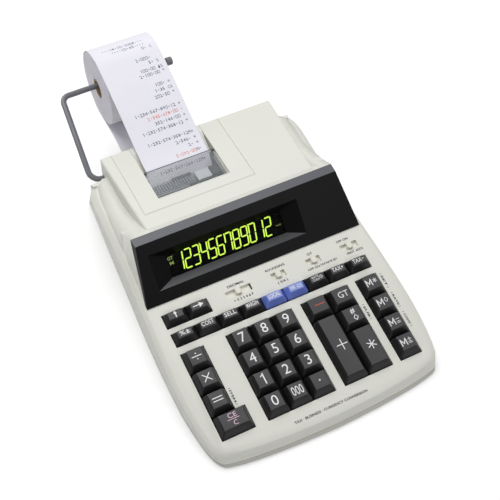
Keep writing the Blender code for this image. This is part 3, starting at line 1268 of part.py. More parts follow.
def make_holder(wire_material, cap_material):
    rod_z = rod_height()
    origin = Vector((0, HOLDER_FOOT_Y, HOLDER_FOOT_Z))
    foot_x = -PLATEAU_HALF_WIDTH + HOLDER_FOOT_LENGTH
    corners = ((foot_x, HOLDER_FOOT_Y, HOLDER_FOOT_Z), (HOLDER_OUTER_X, HOLDER_FOOT_Y, HOLDER_FOOT_Z),
               (HOLDER_CORNER_X, ROLL_Y, rod_z - ROD_DROP), (ROD_END_X, ROLL_Y, rod_z))
    path = bent_path(corners, (HOLDER_FOOT_BEND, HOLDER_TOP_BEND), 5)
    curve = bpy.data.curves.new("roll_holder", "CURVE")
    curve.dimensions = "3D"
    curve.bevel_depth = WIRE_RADIUS
    curve.bevel_resolution = 3
    curve.use_fill_caps = True
    spline = curve.splines.new("POLY")
    spline.points.add(len(path) - 1)
    for point, place in zip(spline.points, path):
        point.co = (*(place - origin), 1)
    add_object("roll_holder", curve, root, wire_material, origin)
    socket = WIRE_RADIUS + GAP
    start = ROD_END_X - CAP_SOCKET
    end = start + CAP_LENGTH
    edge = (CAP_RADIUS - WIRE_RADIUS) / 2
    cap = [(ROD_END_X + GAP, 0), (ROD_END_X + GAP, socket), (start, socket), (start, CAP_RADIUS),
           (end - edge, CAP_RADIUS), (end, CAP_RADIUS - edge), (end, 0)]
    add_turned("holder_cap", cap, root, cap_material, (0, ROLL_Y, rod_z), COARSE)


def make_main_board(material):
    low = MAIN_BOARD_Z
    top = low + BOARD_THICKNESS
    board = add_object("main_board", boxes_mesh("main_board", [
        ((BOARD_LEFT, BOARD_FRONT, low), (BOARD_RIGHT, BOARD_REAR, top))]), root, material)
    width = BOARD_RIGHT - BOARD_LEFT
    depth = BOARD_REAR - BOARD_FRONT
    bm = bmesh.new()
    for x_share, y_share, width_share, depth_share in CHIP_SHARES:
        x = BOARD_LEFT + width * x_share
        y = BOARD_FRONT + depth * y_share
        add_box(bm, (x, y, low + BOARD_THICKNESS / 2), (x + width * width_share, y + depth * depth_share,
                                                        top + 2 * BOARD_THICKNESS))
    for x_share, y_share in CAPACITOR_SHARES:
        place = (BOARD_LEFT + width * x_share, BOARD_FRONT + depth * y_share,
                 top + PART_HEIGHT / 2 - BOARD_THICKNESS / 2)
        add_rod(bm, "Z", place, BOSS_RADIUS, PART_HEIGHT, COARSE)
    combine(board, add_object("board_parts", finish_mesh(bm, "board_parts"), root), "UNION")


def make_transformer(material):
    floor = BASE_Z + FLOOR + GAP
    x, y = TRANSFORMER_X, TRANSFORMER_Y
    core = [((x - CORE_WIDTH / 2, y - CORE_DEPTH / 2, floor), (x + CORE_WIDTH / 2, y + CORE_DEPTH / 2,
                                                              floor + CORE_HEIGHT))]
    transformer = add_object("transformer", boxes_mesh("transformer", core), root, material)
    rise = (CORE_HEIGHT - COIL_HEIGHT) / 2
    bm = bmesh.new()
    add_box(bm, (x - COIL_WIDTH / 2, y - COIL_DEPTH / 2, floor + rise),
            (x + COIL_WIDTH / 2, y + COIL_DEPTH / 2, floor + rise + COIL_HEIGHT))
    combine(transformer, add_object("coil", finish_mesh(bm, "coil"), root), "UNION")


def make_empty(name, parent, location=(0, 0, 0), tilt=0.0):
    empty = bpy.data.objects.new(name, None)
    parts.objects.link(empty)
    empty.parent = parent
    empty.location = location
    empty.rotation_euler = (tilt, 0, 0)
    return empty


def make_collection(name):
    collection = bpy.data.collections.new(name)
    bpy.context.scene.collection.children.link(collection)
    return collection


def build():
    colours = {
        "case": make_material("warm white ABS", (0.76, 0.75, 0.68), 0.5),
        "base": make_material("grey ABS", (0.55, 0.54, 0.50), 0.55),
        "bezel": make_material("black styrene", (0.02, 0.02, 0.022), 0.35),
        "lens": make_material("smoked acrylic", (0.03, 0.04, 0.03), 0.1, alpha=0.5),
        "tube": make_material("display glass", (0.03, 0.05, 0.03), 0.15),
        "key_dark": make_material("charcoal ABS", (0.045, 0.045, 0.05), 0.45),
        "key_blue": make_material("blue ABS", (0.08, 0.16, 0.42), 0.45),
        "black": make_material("black ABS", (0.012, 0.012, 0.013), 0.6),
        "board": make_material("circuit board", (0.05, 0.16, 0.07), 0.5),
        "window": make_material("smoky acrylic", (0.35, 0.37, 0.40), 0.1, alpha=0.4),
        "steel": make_material("zinc plated steel", (0.55, 0.56, 0.58), 0.35, 1.0),
        "rubber": make_material("platen rubber", (0.03, 0.03, 0.03), 0.8),
        "dark": make_material("ink black plastic", (0.02, 0.02, 0.03), 0.5),
        "paper": make_material("tally paper", (0.85, 0.85, 0.88), 0.8),
        "card": make_material("core card", (0.36, 0.26, 0.17), 0.85),
        "wire": make_material("dark grey enamelled wire", (0.09, 0.09, 0.10), 0.35, 0.3),
        "iron": make_material("transformer iron", (0.20, 0.20, 0.21), 0.5, 0.8),
    }
    make_top_case(colours["case"])
    make_bottom_case(colours["base"])
    make_bezel(colours["bezel"])
    make_display(colours["lens"], colours["tube"])
    make_key_frame(colours["black"])
    make_key_board(colours["board"])
    make_keys(colours)
    make_switches(colours["case"])
    make_cover(colours["case"])
    make_window(colours["window"])
    make_printer(colours)
    make_paper(colours)
    make_holder(colours["wire"], colours["black"])
    make_main_board(colours["board"])
    make_transformer(colours["iron"])


clear_scene()
parts = make_collection("printing_calculator")
cutters = make_collection("cutters")
front_edge = BASE_FRONT
rear_edge = ROLL_Y + ROLL_RADIUS
root = make_empty("case_origin", None, (0, -(front_edge + rear_edge) / 2, FOOT_HEIGHT - BASE_Z))
deck = make_empty("deck_plane", root, tilt=DECK_TILT)
face_bottom_z = deck_height(FACE_BOTTOM_Y) + FACE_BOTTOM_LIP
face_tilt = math.atan2(FACE_TOP_Z - face_bottom_z, FACE_TOP_Y - FACE_BOTTOM_Y)
face = make_empty("bezel_face", root, (0, FACE_BOTTOM_Y, face_bottom_z), face_tilt)
plateau = make_empty("plateau_plane", root, (0, HOUSING_Y, HOUSING_Z), PLATEAU_SLOPE)
build()
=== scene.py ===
# Looks for the printing calculator: materials, key legends, display digits and the printed tape,
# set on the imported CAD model. Lengths are metres, in the same frame as the CAD.

import json
import math

import bmesh
import bpy
from mathutils import Matrix, Vector
from mathutils.bvhtree import BVHTree


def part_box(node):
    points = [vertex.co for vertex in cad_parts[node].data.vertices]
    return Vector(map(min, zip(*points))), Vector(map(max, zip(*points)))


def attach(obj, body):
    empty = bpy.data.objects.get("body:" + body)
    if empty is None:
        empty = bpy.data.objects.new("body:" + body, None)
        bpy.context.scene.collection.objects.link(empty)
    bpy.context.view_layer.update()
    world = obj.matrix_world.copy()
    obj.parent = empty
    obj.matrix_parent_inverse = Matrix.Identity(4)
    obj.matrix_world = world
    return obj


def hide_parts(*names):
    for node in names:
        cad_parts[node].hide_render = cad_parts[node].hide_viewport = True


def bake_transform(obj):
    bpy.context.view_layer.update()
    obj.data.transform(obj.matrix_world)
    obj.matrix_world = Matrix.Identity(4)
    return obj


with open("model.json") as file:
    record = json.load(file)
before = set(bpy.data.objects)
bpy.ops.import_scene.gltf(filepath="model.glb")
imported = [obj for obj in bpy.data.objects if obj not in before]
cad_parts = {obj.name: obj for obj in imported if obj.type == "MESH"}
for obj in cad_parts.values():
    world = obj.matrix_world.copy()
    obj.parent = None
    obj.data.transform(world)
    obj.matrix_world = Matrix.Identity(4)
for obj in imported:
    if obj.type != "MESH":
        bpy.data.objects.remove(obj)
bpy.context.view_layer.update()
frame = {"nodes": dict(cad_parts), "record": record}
nodes = frame["nodes"]
bodies = frame["record"]["behaviour"]["bodies"]
bodyOf = {node: body for body, members in bodies.items() for node in members}
slotOf = {part["node"]: part["material_slot"] for part in frame["record"]["subparts"]}
print("frame loaded,", len(nodes), "CAD nodes")

mm = 0.001
printLift = 0.02 * mm     # how far a printed mark stands off its surface
printDepth = 0.03 * mm    # thickness of a printed mark

# The case frame: its origin is the front edge of the numeric keys, in the surface of the deck.
caseFrame = {
    "origin": Vector((0, -172.05, 17.8)) * mm,
    "deckTilt": math.radians(12.85),
    "bezelFoot": Vector((0, 119.98, 28.67)) * mm,
    "bezelTilt": math.radians(49.34),
    "plateauFront": Vector((0, 162.18, 67.5)) * mm,
    "plateauTilt": math.atan(0.0234),
}


def tiltedPlane(corner, tilt):
    return Matrix.Translation(caseFrame["origin"] + corner) @ Matrix.Rotation(tilt, 4, "X")


casePlane = tiltedPlane(Vector(), 0)
deckPlane = tiltedPlane(Vector(), caseFrame["deckTilt"])
bezelPlane = tiltedPlane(caseFrame["bezelFoot"], caseFrame["bezelTilt"])
plateauPlane = tiltedPlane(caseFrame["plateauFront"], caseFrame["plateauTilt"])


# Materials

def toLinear(hexText):
    channels = [int(hexText[i:i + 2], 16) / 255 for i in (1, 3, 5)]
    return tuple(c / 12.92 if c <= 0.04045 else ((c + 0.055) / 1.055) ** 2.4 for c in channels) + (1.0,)


def addNode(tree, kind, settings=None, **inputs):
    # Inputs are given by position as i0, i1 and so on, or by name with _ for a space.
    node = tree.nodes.new(kind)
    for name, value in (settings or {}).items():
        setattr(node, name, value)
    for key, value in inputs.items():
        byPlace = key[0] == "i" and key[1:].isdigit()
        socket = node.inputs[int(key[1:])] if byPlace else node.inputs[key.replace("_", " ")]
        if isinstance(value, bpy.types.NodeSocket):
            tree.links.new(value, socket)
        else:
            socket.default_value = value
    return node


def startMaterial(name, colour, roughness, **sockets):
    material = bpy.data.materials.new(name)
    material.use_nodes = True
    tree = material.node_tree
    shader = tree.nodes["Principled BSDF"]
    shader.inputs["Base Color"].default_value = toLinear(colour)
    shader.inputs["Roughness"].default_value = roughness
    for key, value in sockets.items():
        shader.inputs[key.replace("_", " ")].default_value = value
    place = addNode(tree, "ShaderNodeTexCoord").outputs["Object"]
    return material, tree, shader, place


def addBump(tree, shader, height, distance, strength=1.0):
    bump = addNode(tree, "ShaderNodeBump", Strength=strength, Distance=distance, Height=height)
    tree.links.new(bump.outputs["Normal"], shader.inputs["Normal"])


def mixColours(tree, share, first, second):
    mix = addNode(tree, "ShaderNodeMix", {"data_type": "RGBA"}, i0=share, i6=toLinear(first),
                  i7=toLinear(second))
    return mix.outputs[2]


def mouldedPlastic(name, colour, shade, roughness, grain, depth, spread=0.08, **sockets):
    # Spark-eroded texture of the mould as bump, slow drift of colour, and gloss that varies with it.
    material, tree, shader, place = startMaterial(name, colour, roughness, **sockets)
    fine = addNode(tree, "ShaderNodeTexNoise", Vector=place, Scale=1 / grain, Detail=3.0, Roughness=0.6)
    drift = addNode(tree, "ShaderNodeTexNoise", Vector=place, Scale=1 / (60 * mm), Detail=2.0)
    tree.links.new(mixColours(tree, drift.outputs[0], colour, shade), shader.inputs["Base Color"])
    gloss = addNode(tree, "ShaderNodeMapRange", Value=fine.outputs[0], To_Min=roughness - spread,
                    To_Max=roughness + spread)
    tree.links.new(gloss.outputs[0], shader.inputs["Roughness"])
    addBump(tree, shader, fine.outputs[0], depth)
    return material


def printedInk(name, colour, roughness=0.55):
    # Pad-printed ink: nearly flat colour with a slightly uneven film.
    material, tree, shader, place = startMaterial(name, colour, roughness)
    film = addNode(tree, "ShaderNodeTexNoise", Vector=place, Scale=1 / (0.6 * mm), Detail=2.0)
    addBump(tree, shader, film.outputs[0], 0.004 * mm)
    return material


def paperMaterial(name, colour, shade):
    # Uncoated tally paper: matt, with faint clouding of the fibres every few millimetres.
    material, tree, shader, place = startMaterial(name, colour, 0.85, Specular_IOR_Level=0.3)
    cloud = addNode(tree, "ShaderNodeTexNoise", Vector=place, Scale=1 / (4 * mm), Detail=4.0)
    fibre = addNode(tree, "ShaderNodeTexNoise", Vector=place, Scale=1 / (0.3 * mm), Detail=2.0)
    tree.links.new(mixColours(tree, cloud.outputs[0], colour, shade), shader.inputs["Base Color"])
    addBump(tree, shader, fibre.outputs[0], 0.01 * mm)
    return material


def woundPaper(name, colour, shade, centre):
    # The roll's side shows its layers as fine rings, drawn 0.9 mm apart so that they show.
    material, tree, shader, place = startMaterial(name, colour, 0.85, Specular_IOR_Level=0.3)
    shift = addNode(tree, "ShaderNodeMapping", Vector=place, Location=[-c for c in centre])
    parts = addNode(tree, "ShaderNodeSeparateXYZ", i0=shift.outputs[0])
    flat = addNode(tree, "ShaderNodeCombineXYZ", i1=parts.outputs[1], i2=parts.outputs[2])
    radius = addNode(tree, "ShaderNodeVectorMath", {"operation": "LENGTH"}, i0=flat.outputs[0])
    turns = addNode(tree, "ShaderNodeMath", {"operation": "MULTIPLY"}, i0=radius.outputs["Value"],
                    i1=math.tau / (0.9 * mm))
    ring = addNode(tree, "ShaderNodeMath", {"operation": "SINE"}, i0=turns.outputs[0])
    share = addNode(tree, "ShaderNodeMapRange", Value=ring.outputs[0], From_Min=-1.0, From_Max=1.0)
    tree.links.new(mixColours(tree, share.outputs[0], colour, shade), shader.inputs["Base Color"])
    addBump(tree, shader, share.outputs[0], 0.02 * mm)
    return material


def brushedSheet(name, colour, roughness):
    # Zinc plated sheet: faint rolling lines along X, 0.2 mm apart.
    material, tree, shader, place = startMaterial(name, colour, roughness, Metallic=1.0)
    stretch = addNode(tree, "ShaderNodeMapping", Vector=place, Scale=(0.04, 1.0, 1.0))
    lines = addNode(tree, "ShaderNodeTexNoise", Vector=stretch.outputs[0], Scale=1 / (0.2 * mm), Detail=2.0)
    gloss = addNode(tree, "ShaderNodeMapRange", Value=lines.outputs[0], To_Min=roughness - 0.1,
                    To_Max=roughness + 0.12)
    tree.links.new(gloss.outputs[0], shader.inputs["Roughness"])
    addBump(tree, shader, lines.outputs[0], 0.01 * mm)
    return material


def glowing(name, colour, strength):
    # Lit phosphor of the display, seen through the dark plate.
    material, _, shader, _ = startMaterial(name, "#10140a", 0.5)
    shader.inputs["Emission Color"].default_value = toLinear(colour)
    shader.inputs["Emission Strength"].default_value = strength
    return material


def tintedPlate(name, colour, alpha, roughness, **sockets):
    # Thin clear acrylic: the tint is its alpha, so light still reaches what lies below.
    material, tree, shader, place = startMaterial(name, colour, roughness, Alpha=alpha, IOR=1.49, **sockets)
    haze = addNode(tree, "ShaderNodeTexNoise", Vector=place, Scale=1 / (25 * mm), Detail=2.0)
    gloss = addNode(tree, "ShaderNodeMapRange", Value=haze.outputs[0], To_Min=roughness * 0.7,
                    To_Max=roughness * 1.3)
    tree.links.new(gloss.outputs[0], shader.inputs["Roughness"])
    return material


rollLow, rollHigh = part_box("paper_roll")
rollCentre = (Vector(rollLow) + Vector(rollHigh)) / 2

looks = {
    "case": mouldedPlastic("Warm white ABS, eroded finish", "#e9e9e1", "#e5e5dc", 0.50, 0.7 * mm, 0.010 * mm),
    "base": mouldedPlastic("Grey ABS", "#c9c8c0", "#c3c2ba", 0.55, 0.7 * mm, 0.015 * mm),
    "knob": mouldedPlastic("Cream acetal", "#f0efe4", "#e9e7da", 0.40, 0.5 * mm, 0.006 * mm),
    "bezel": mouldedPlastic("Black styrene, semi-gloss", "#070708", "#0a0a0b", 0.34, 0.5 * mm, 0.004 * mm,
                            Specular_IOR_Level=0.12),
    # The upward-facing top strip of the black bezel is drawn grey: painted highlight.
    "strip": mouldedPlastic("Black styrene top edge, painted highlight", "#606268", "#5b5d63", 0.42, 0.5 * mm, 0.006 * mm),
    "key_dark": mouldedPlastic("Charcoal ABS key", "#4b494b", "#454446", 0.46, 0.5 * mm, 0.008 * mm),
    "key_blue": mouldedPlastic("Blue ABS key", "#93a4e4", "#8d9ede", 0.46, 0.5 * mm, 0.008 * mm),
    "ledge": mouldedPlastic("Black styrene, lit ledge", "#36373b", "#3b3c40", 0.40, 0.5 * mm, 0.004 * mm),
    # The key sides take darker copies of the key colours: painted shade on the skirts, which face away from
    # the light.
    "key_side_shaded": mouldedPlastic("Charcoal ABS, polished side in painted shade", "#191819", "#1e1d1e", 0.36, 0.5 * mm,
                               0.003 * mm, Specular_IOR_Level=0.35),
    "blue_side_shaded": mouldedPlastic("Blue ABS, polished side in painted shade", "#677cd0", "#6277ca", 0.38, 0.5 * mm, 0.003 * mm),
    "black": mouldedPlastic("Black ABS", "#0c0c0d", "#101011", 0.6, 0.6 * mm, 0.01 * mm),
    "board": mouldedPlastic("Solder mask on glass fibre", "#2f6b3c", "#2a6236", 0.4, 0.4 * mm, 0.01 * mm),
    # The same dark rubber also draws the dark strip at the tear edge, as painted shade.
    "rubber": mouldedPlastic("Ground platen rubber, also painted edge shade", "#3c3d40", "#343538", 0.8, 0.3 * mm, 0.02 * mm),
    "dark": mouldedPlastic("Ink-stained acetal", "#4a4c52", "#3c3d44", 0.5, 0.4 * mm, 0.01 * mm),
    "iron": mouldedPlastic("Varnished laminations", "#3b3b3e", "#333336", 0.5, 0.5 * mm, 0.02 * mm,
                           Metallic=0.6),
    "wire": mouldedPlastic("Dark grey enamelled wire", "#707277", "#686a6f", 0.38, 0.8 * mm, 0.006 * mm,
                           Coat_Weight=0.2),
    "card": mouldedPlastic("Wound core card", "#ab8e6d", "#9c7f5f", 0.85, 0.4 * mm, 0.03 * mm),
    "paper": paperMaterial("Tally paper", "#f1f0f8", "#ecebf4"),
    "roll": woundPaper("Wound tally paper", "#f6f4fb", "#e6e3ee", rollCentre),
    "steel": brushedSheet("Zinc plated sheet", "#a6a9ad", 0.38),
    "bars": mouldedPlastic("Grey printer moulding", "#8a9096", "#7f858b", 0.45, 0.4 * mm, 0.01 * mm),
    "panel": mouldedPlastic("Pale grey printer cover plate", "#d9dcdd", "#d2d5d7", 0.45, 0.4 * mm, 0.01 * mm),
    # The tan plates sunk in the gaps beside the printer cover are painted shade.
    "seam": mouldedPlastic("Painted shade in the gap beside the cover", "#b9ae8a", "#a89d7a", 0.8, 0.6 * mm, 0.01 * mm),
    "whiteInk": printedInk("White pad print", "#f2f2f2"),
    "redInk": printedInk("Red pad print", "#d2553c"),
    "pinkInk": printedInk("Pink pad print", "#ecc9de"),
    "blackInk": printedInk("Dark grey pad print", "#2c2c2a"),
    "ribbonInk": printedInk("Blue-black ribbon ink", "#4a5670", 0.8),
    "ribbonRed": printedInk("Red ribbon ink", "#e0806f", 0.8),
    "phosphor": glowing("Lit phosphor", "#c9f055", 2.0),
    "dimPhosphor": glowing("Dim phosphor", "#a4ba66", 1.0),
    "lens": tintedPlate("Smoked acrylic filter", "#050706", 0.22, 0.10, Specular_IOR_Level=0.04),
    # The window's pale grey at low alpha lays a light veil over the printer: painted reflection of the bright
    # surroundings on smoky acrylic.
    "window": tintedPlate("Smoky acrylic, pale veil of painted reflection", "#c3c8cd", 0.16, 0.14),
    "tube": mouldedPlastic("Display glass, dark coat", "#060805", "#080b06", 0.45, 2.0 * mm, 0.0, 0.02,
                           Specular_IOR_Level=0.05),
}
print("materials made:", len(looks))


# CAD nodes

def newObject(name, mesh):
    piece = bpy.data.objects.new(name, mesh)
    bpy.context.scene.collection.objects.link(piece)
    return piece


def meshFrom(bm, name):
    mesh = bpy.data.meshes.new(name)
    bm.to_mesh(mesh)
    bm.free()
    return mesh


def seat(piece, body, material):
    piece.data.materials.append(looks[material])
    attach(piece, body)
    return piece


# How the copies of CAD solids are finished, and which of their faces take a second material.
finish = {
    "merge": 0.002 * mm, "flat": math.radians(0.4), "smooth": 32, "bevelAngle": math.radians(28),
    "segments": 2, "keyEdge": 0.28 * mm, "knobEdge": 0.15 * mm, "rollEdge": 0.2 * mm,
    "keyTopShare": 0.8, "stripShare": 0.95, "stripDepth": 1 * mm, "ledgeShare": 0.35,
    "ledgeFrom": 6 * mm, "ledgeBelow": -0.5 * mm,
}


def finishedCopy(node, material, angle=finish["smooth"], edge=0.0):
    # A merged copy of a CAD solid, smooth over its round stretches, with its edges broken.
    bm = bmesh.new()
    bm.from_mesh(nodes[node].data)
    bmesh.ops.remove_doubles(bm, verts=bm.verts, dist=finish["merge"])
    bmesh.ops.dissolve_limit(bm, angle_limit=finish["flat"], verts=bm.verts, edges=bm.edges)
    mesh = meshFrom(bm, node + "_skin")
    mesh.shade_smooth()
    mesh.set_sharp_from_angle(angle=math.radians(angle))
    piece = newObject(node + "_skin", mesh)
    if edge:
        bevel = piece.modifiers.new("Broken edges", "BEVEL")
        bevel.width = edge
        bevel.segments = finish["segments"]
        bevel.limit_method = "ANGLE"
        bevel.angle_limit = finish["bevelAngle"]
        bevel.harden_normals = True
    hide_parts(node)
    return seat(piece, bodyOf[node], material)


def paintNode(node, material):
    data = nodes[node].data
    data.materials.clear()
    data.materials.append(looks[material])


keyNodes = [name for name in nodes if name.startswith("key_") and name not in ("key_frame", "key_board")]
switchNodes = [name for name in nodes if name.startswith("switch_")]
for name in keyNodes:
    skin = finishedCopy(name, slotOf[name], edge=finish["keyEdge"])
    skin.data.materials.append(looks["blue_side_shaded" if slotOf[name] == "key_blue" else "key_side_shaded"])
    for face in skin.data.polygons:
        if face.normal.dot(deckPlane.col[2].xyz) < finish["keyTopShare"]:
            face.material_index = 1    # the sides are polished, and drawn darker than the grained top as painted shade
for name in switchNodes:
    finishedCopy(name, "knob", edge=finish["knobEdge"])
finishedCopy("top_case", "case", angle=20)
finishedCopy("bottom_case", "base", angle=28)
finishedCopy("printer_cover", "case", angle=28)
bezelSkin = finishedCopy("display_bezel", "bezel", angle=20)
finishedCopy("paper_roll", "roll", edge=finish["rollEdge"])
finishedCopy("paper_core", "card")
finishedCopy("roll_holder", "wire")
finishedCopy("holder_cap", "wire")
finishedCopy("platen_roller", "rubber")
finishedCopy("type_drum", "dark")
finishedCopy("ink_roller", "dark")
for name, material in (("display_lens", "lens"), ("display_tube", "tube"), ("key_frame", "black"),
                       ("key_board", "board"), ("printer_frame", "steel"), ("main_board", "board"),
                       ("transformer", "iron"), ("tear_window", "window")):
    paintNode(name, material)

for material in ("strip", "ledge"):
    bezelSkin.data.materials.append(looks[material])
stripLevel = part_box("display_bezel")[1][2] - finish["stripDepth"]
for face in bezelSkin.data.polygons:
    inPlane = bezelPlane.inverted() @ face.center
    if face.normal.z > finish["stripShare"] and face.center.z > stripLevel:
        face.material_index = 1    # the flat strip along the bezel's upper edge, which faces up, drawn grey as painted highlight
    elif (face.normal.dot(bezelPlane.col[1].xyz) > finish["ledgeShare"]
          and inPlane.y > finish["ledgeFrom"] and inPlane.z < finish["ledgeBelow"]):
        face.material_index = 2    # the lower slope around the display faces the light
print("CAD nodes finished")


# Printed marks

def addPrism(bm, points, place):
    # A thin closed plate from an outline in its own plane, counter-clockwise.
    low = [bm.verts.new(place @ Vector((x, y, 0))) for x, y in points]
    high = [bm.verts.new(place @ Vector((x, y, printDepth))) for x, y in points]
    bm.faces.new(low[::-1])
    bm.faces.new(high)
    for i in range(len(points)):
        j = (i + 1) % len(points)
        bm.faces.new((low[i], low[j], high[j], high[i]))


def addStroke(bm, points, width, place, closed=False):
    # A pen line of even width, one plate for each straight stretch.
    ends = list(zip(points, points[1:] + points[:1] if closed else points[1:]))
    for (x0, y0), (x1, y1) in ends:
        along = Vector((x1 - x0, y1 - y0)).normalized() * width / 2
        side = Vector((-along.y, along.x))
        ax, ay = x0 - along.x, y0 - along.y
        bx, by = x1 + along.x, y1 + along.y
        addPrism(bm, [(ax + side.x, ay + side.y), (ax - side.x, ay - side.y),
                      (bx - side.x, by - side.y), (bx + side.x, by + side.y)], place)


def lettering(words, height, weight=0.0, curveSteps=3):
    # Words as a mesh with their middle at the origin and the stated height of capitals.
    curve = bpy.data.curves.new("lettering", "FONT")
    curve.body = words
    curve.align_x = "CENTER"
    curve.size = height / capShare
    curve.offset = weight * height
    curve.extrude = printDepth / 2
    curve.resolution_u = curveSteps
    carrier = bpy.data.objects.new("lettering", curve)
    bpy.context.scene.collection.objects.link(carrier)
    bpy.context.view_layer.update()
    mesh = bpy.data.meshes.new_from_object(carrier.evaluated_get(bpy.context.evaluated_depsgraph_get()))
    bpy.data.objects.remove(carrier)
    bpy.data.curves.remove(curve)
    mesh.transform(Matrix.Translation((0, -height / 2, printDepth / 2)))
    return mesh


def addWords(bm, words, height, place, width=None, weight=0.0, curveSteps=3):
    mesh = lettering(words, height, weight, curveSteps)
    if width:
        span = max(v.co.x for v in mesh.vertices) - min(v.co.x for v in mesh.vertices)
        mesh.transform(Matrix.Diagonal((width / span, 1, 1, 1)))
    mesh.transform(place)
    bm.from_mesh(mesh)
    bpy.data.meshes.remove(mesh)


capShare = 1.0
sample = lettering("H", 1.0)
capShare = max(v.co.y for v in sample.vertices) - min(v.co.y for v in sample.vertices)
bpy.data.meshes.remove(sample)


def planeAt(plane, x, y, z=0.0, turn=0.0):
    return plane @ Matrix.Translation((x, y, z + printLift)) @ Matrix.Rotation(turn, 4, "Z")


# How legends meet a key: depth of the rim that counts as its top, height that the marks drop from, and
# how long edges are cut so that they bend with the dish.
legendFit = {"rim": 0.1 * mm, "above": 30 * mm, "longEdge": 1.5 * mm, "cuts": 5}


def dropOn(node, mesh, plane):
    # Lowers printed marks on to a key's top, so that they follow its dish.
    source = nodes[node].data
    skin = BVHTree.FromPolygons([v.co for v in source.vertices], [p.vertices for p in source.polygons])
    inverse, up = plane.inverted(), plane.col[2].xyz
    for v in mesh.vertices:
        local = inverse @ v.co
        hit = skin.ray_cast(plane @ Vector((local.x, local.y, legendFit["above"])), -up)[0]
        if hit:
            v.co = hit + up * (printLift + local.z)


def keyTop(node):
    # Middle of the top of a key, in the plane of the deck.
    inverse = deckPlane.inverted()
    points = [inverse @ v.co for v in nodes[node].data.vertices]
    crest = max(p.z for p in points)
    rim = [p for p in points if p.z > crest - legendFit["rim"]]
    return [(min(p[i] for p in rim) + max(p[i] for p in rim)) / 2 for i in (0, 1)]


# Signs as pen lines, in shares of their reach. Lines that cross are lifted one over the other.
star = [((-math.cos(a), -math.sin(a)), (math.cos(a), math.sin(a))) for a in map(math.radians, (90, 150, 210))]
signs = {
    "minus": [((-1, 0), (1, 0))],
    "plus": [((-1, 0), (1, 0)), ((0, -1), (0, 1))],
    "divide": [((-1, 0), (1, 0))],
    "multiply": [((-1, -1), (1, 1)), ((-1, 1), (1, -1))],
    "equals": [((-1, -0.33), (1, -0.33)), ((-1, 0.33), (1, 0.33))],
    "star": star,
    "diamond": [((0, -1), (0.85, 0), (0, 1), (-0.85, 0))],
    "arrow": [((-1, 0), (0.7, 0))],
    "point": [],
}
arrowHead = ((1.1, 0), (0.2, 0.55), (0.2, -0.55))
divideDots = {"height": 0.62, "radius": 0.75}
dotSides = 12


def addDot(bm, y, radius, place):
    turns = [k * math.tau / dotSides for k in range(dotSides)]
    addPrism(bm, [(radius * math.cos(a), y + radius * math.sin(a)) for a in turns], place)


def addSign(bm, sign, reach, width, place):
    lift = Matrix.Translation((0, 0, printDepth / 3))
    level = place
    for line in signs[sign]:
        addStroke(bm, [(x * reach, y * reach) for x, y in line], width, level, sign == "diamond")
        if sign != "equals":
            level = level @ lift
    if sign == "divide":
        for side in (-1, 1):
            addDot(bm, side * reach * divideDots["height"], divideDots["radius"] * width, place)
    if sign == "point":
        addDot(bm, 0, reach, place)
    if sign == "arrow":
        addPrism(bm, [(x * reach, y * reach) for x, y in arrowHead], place @ lift)


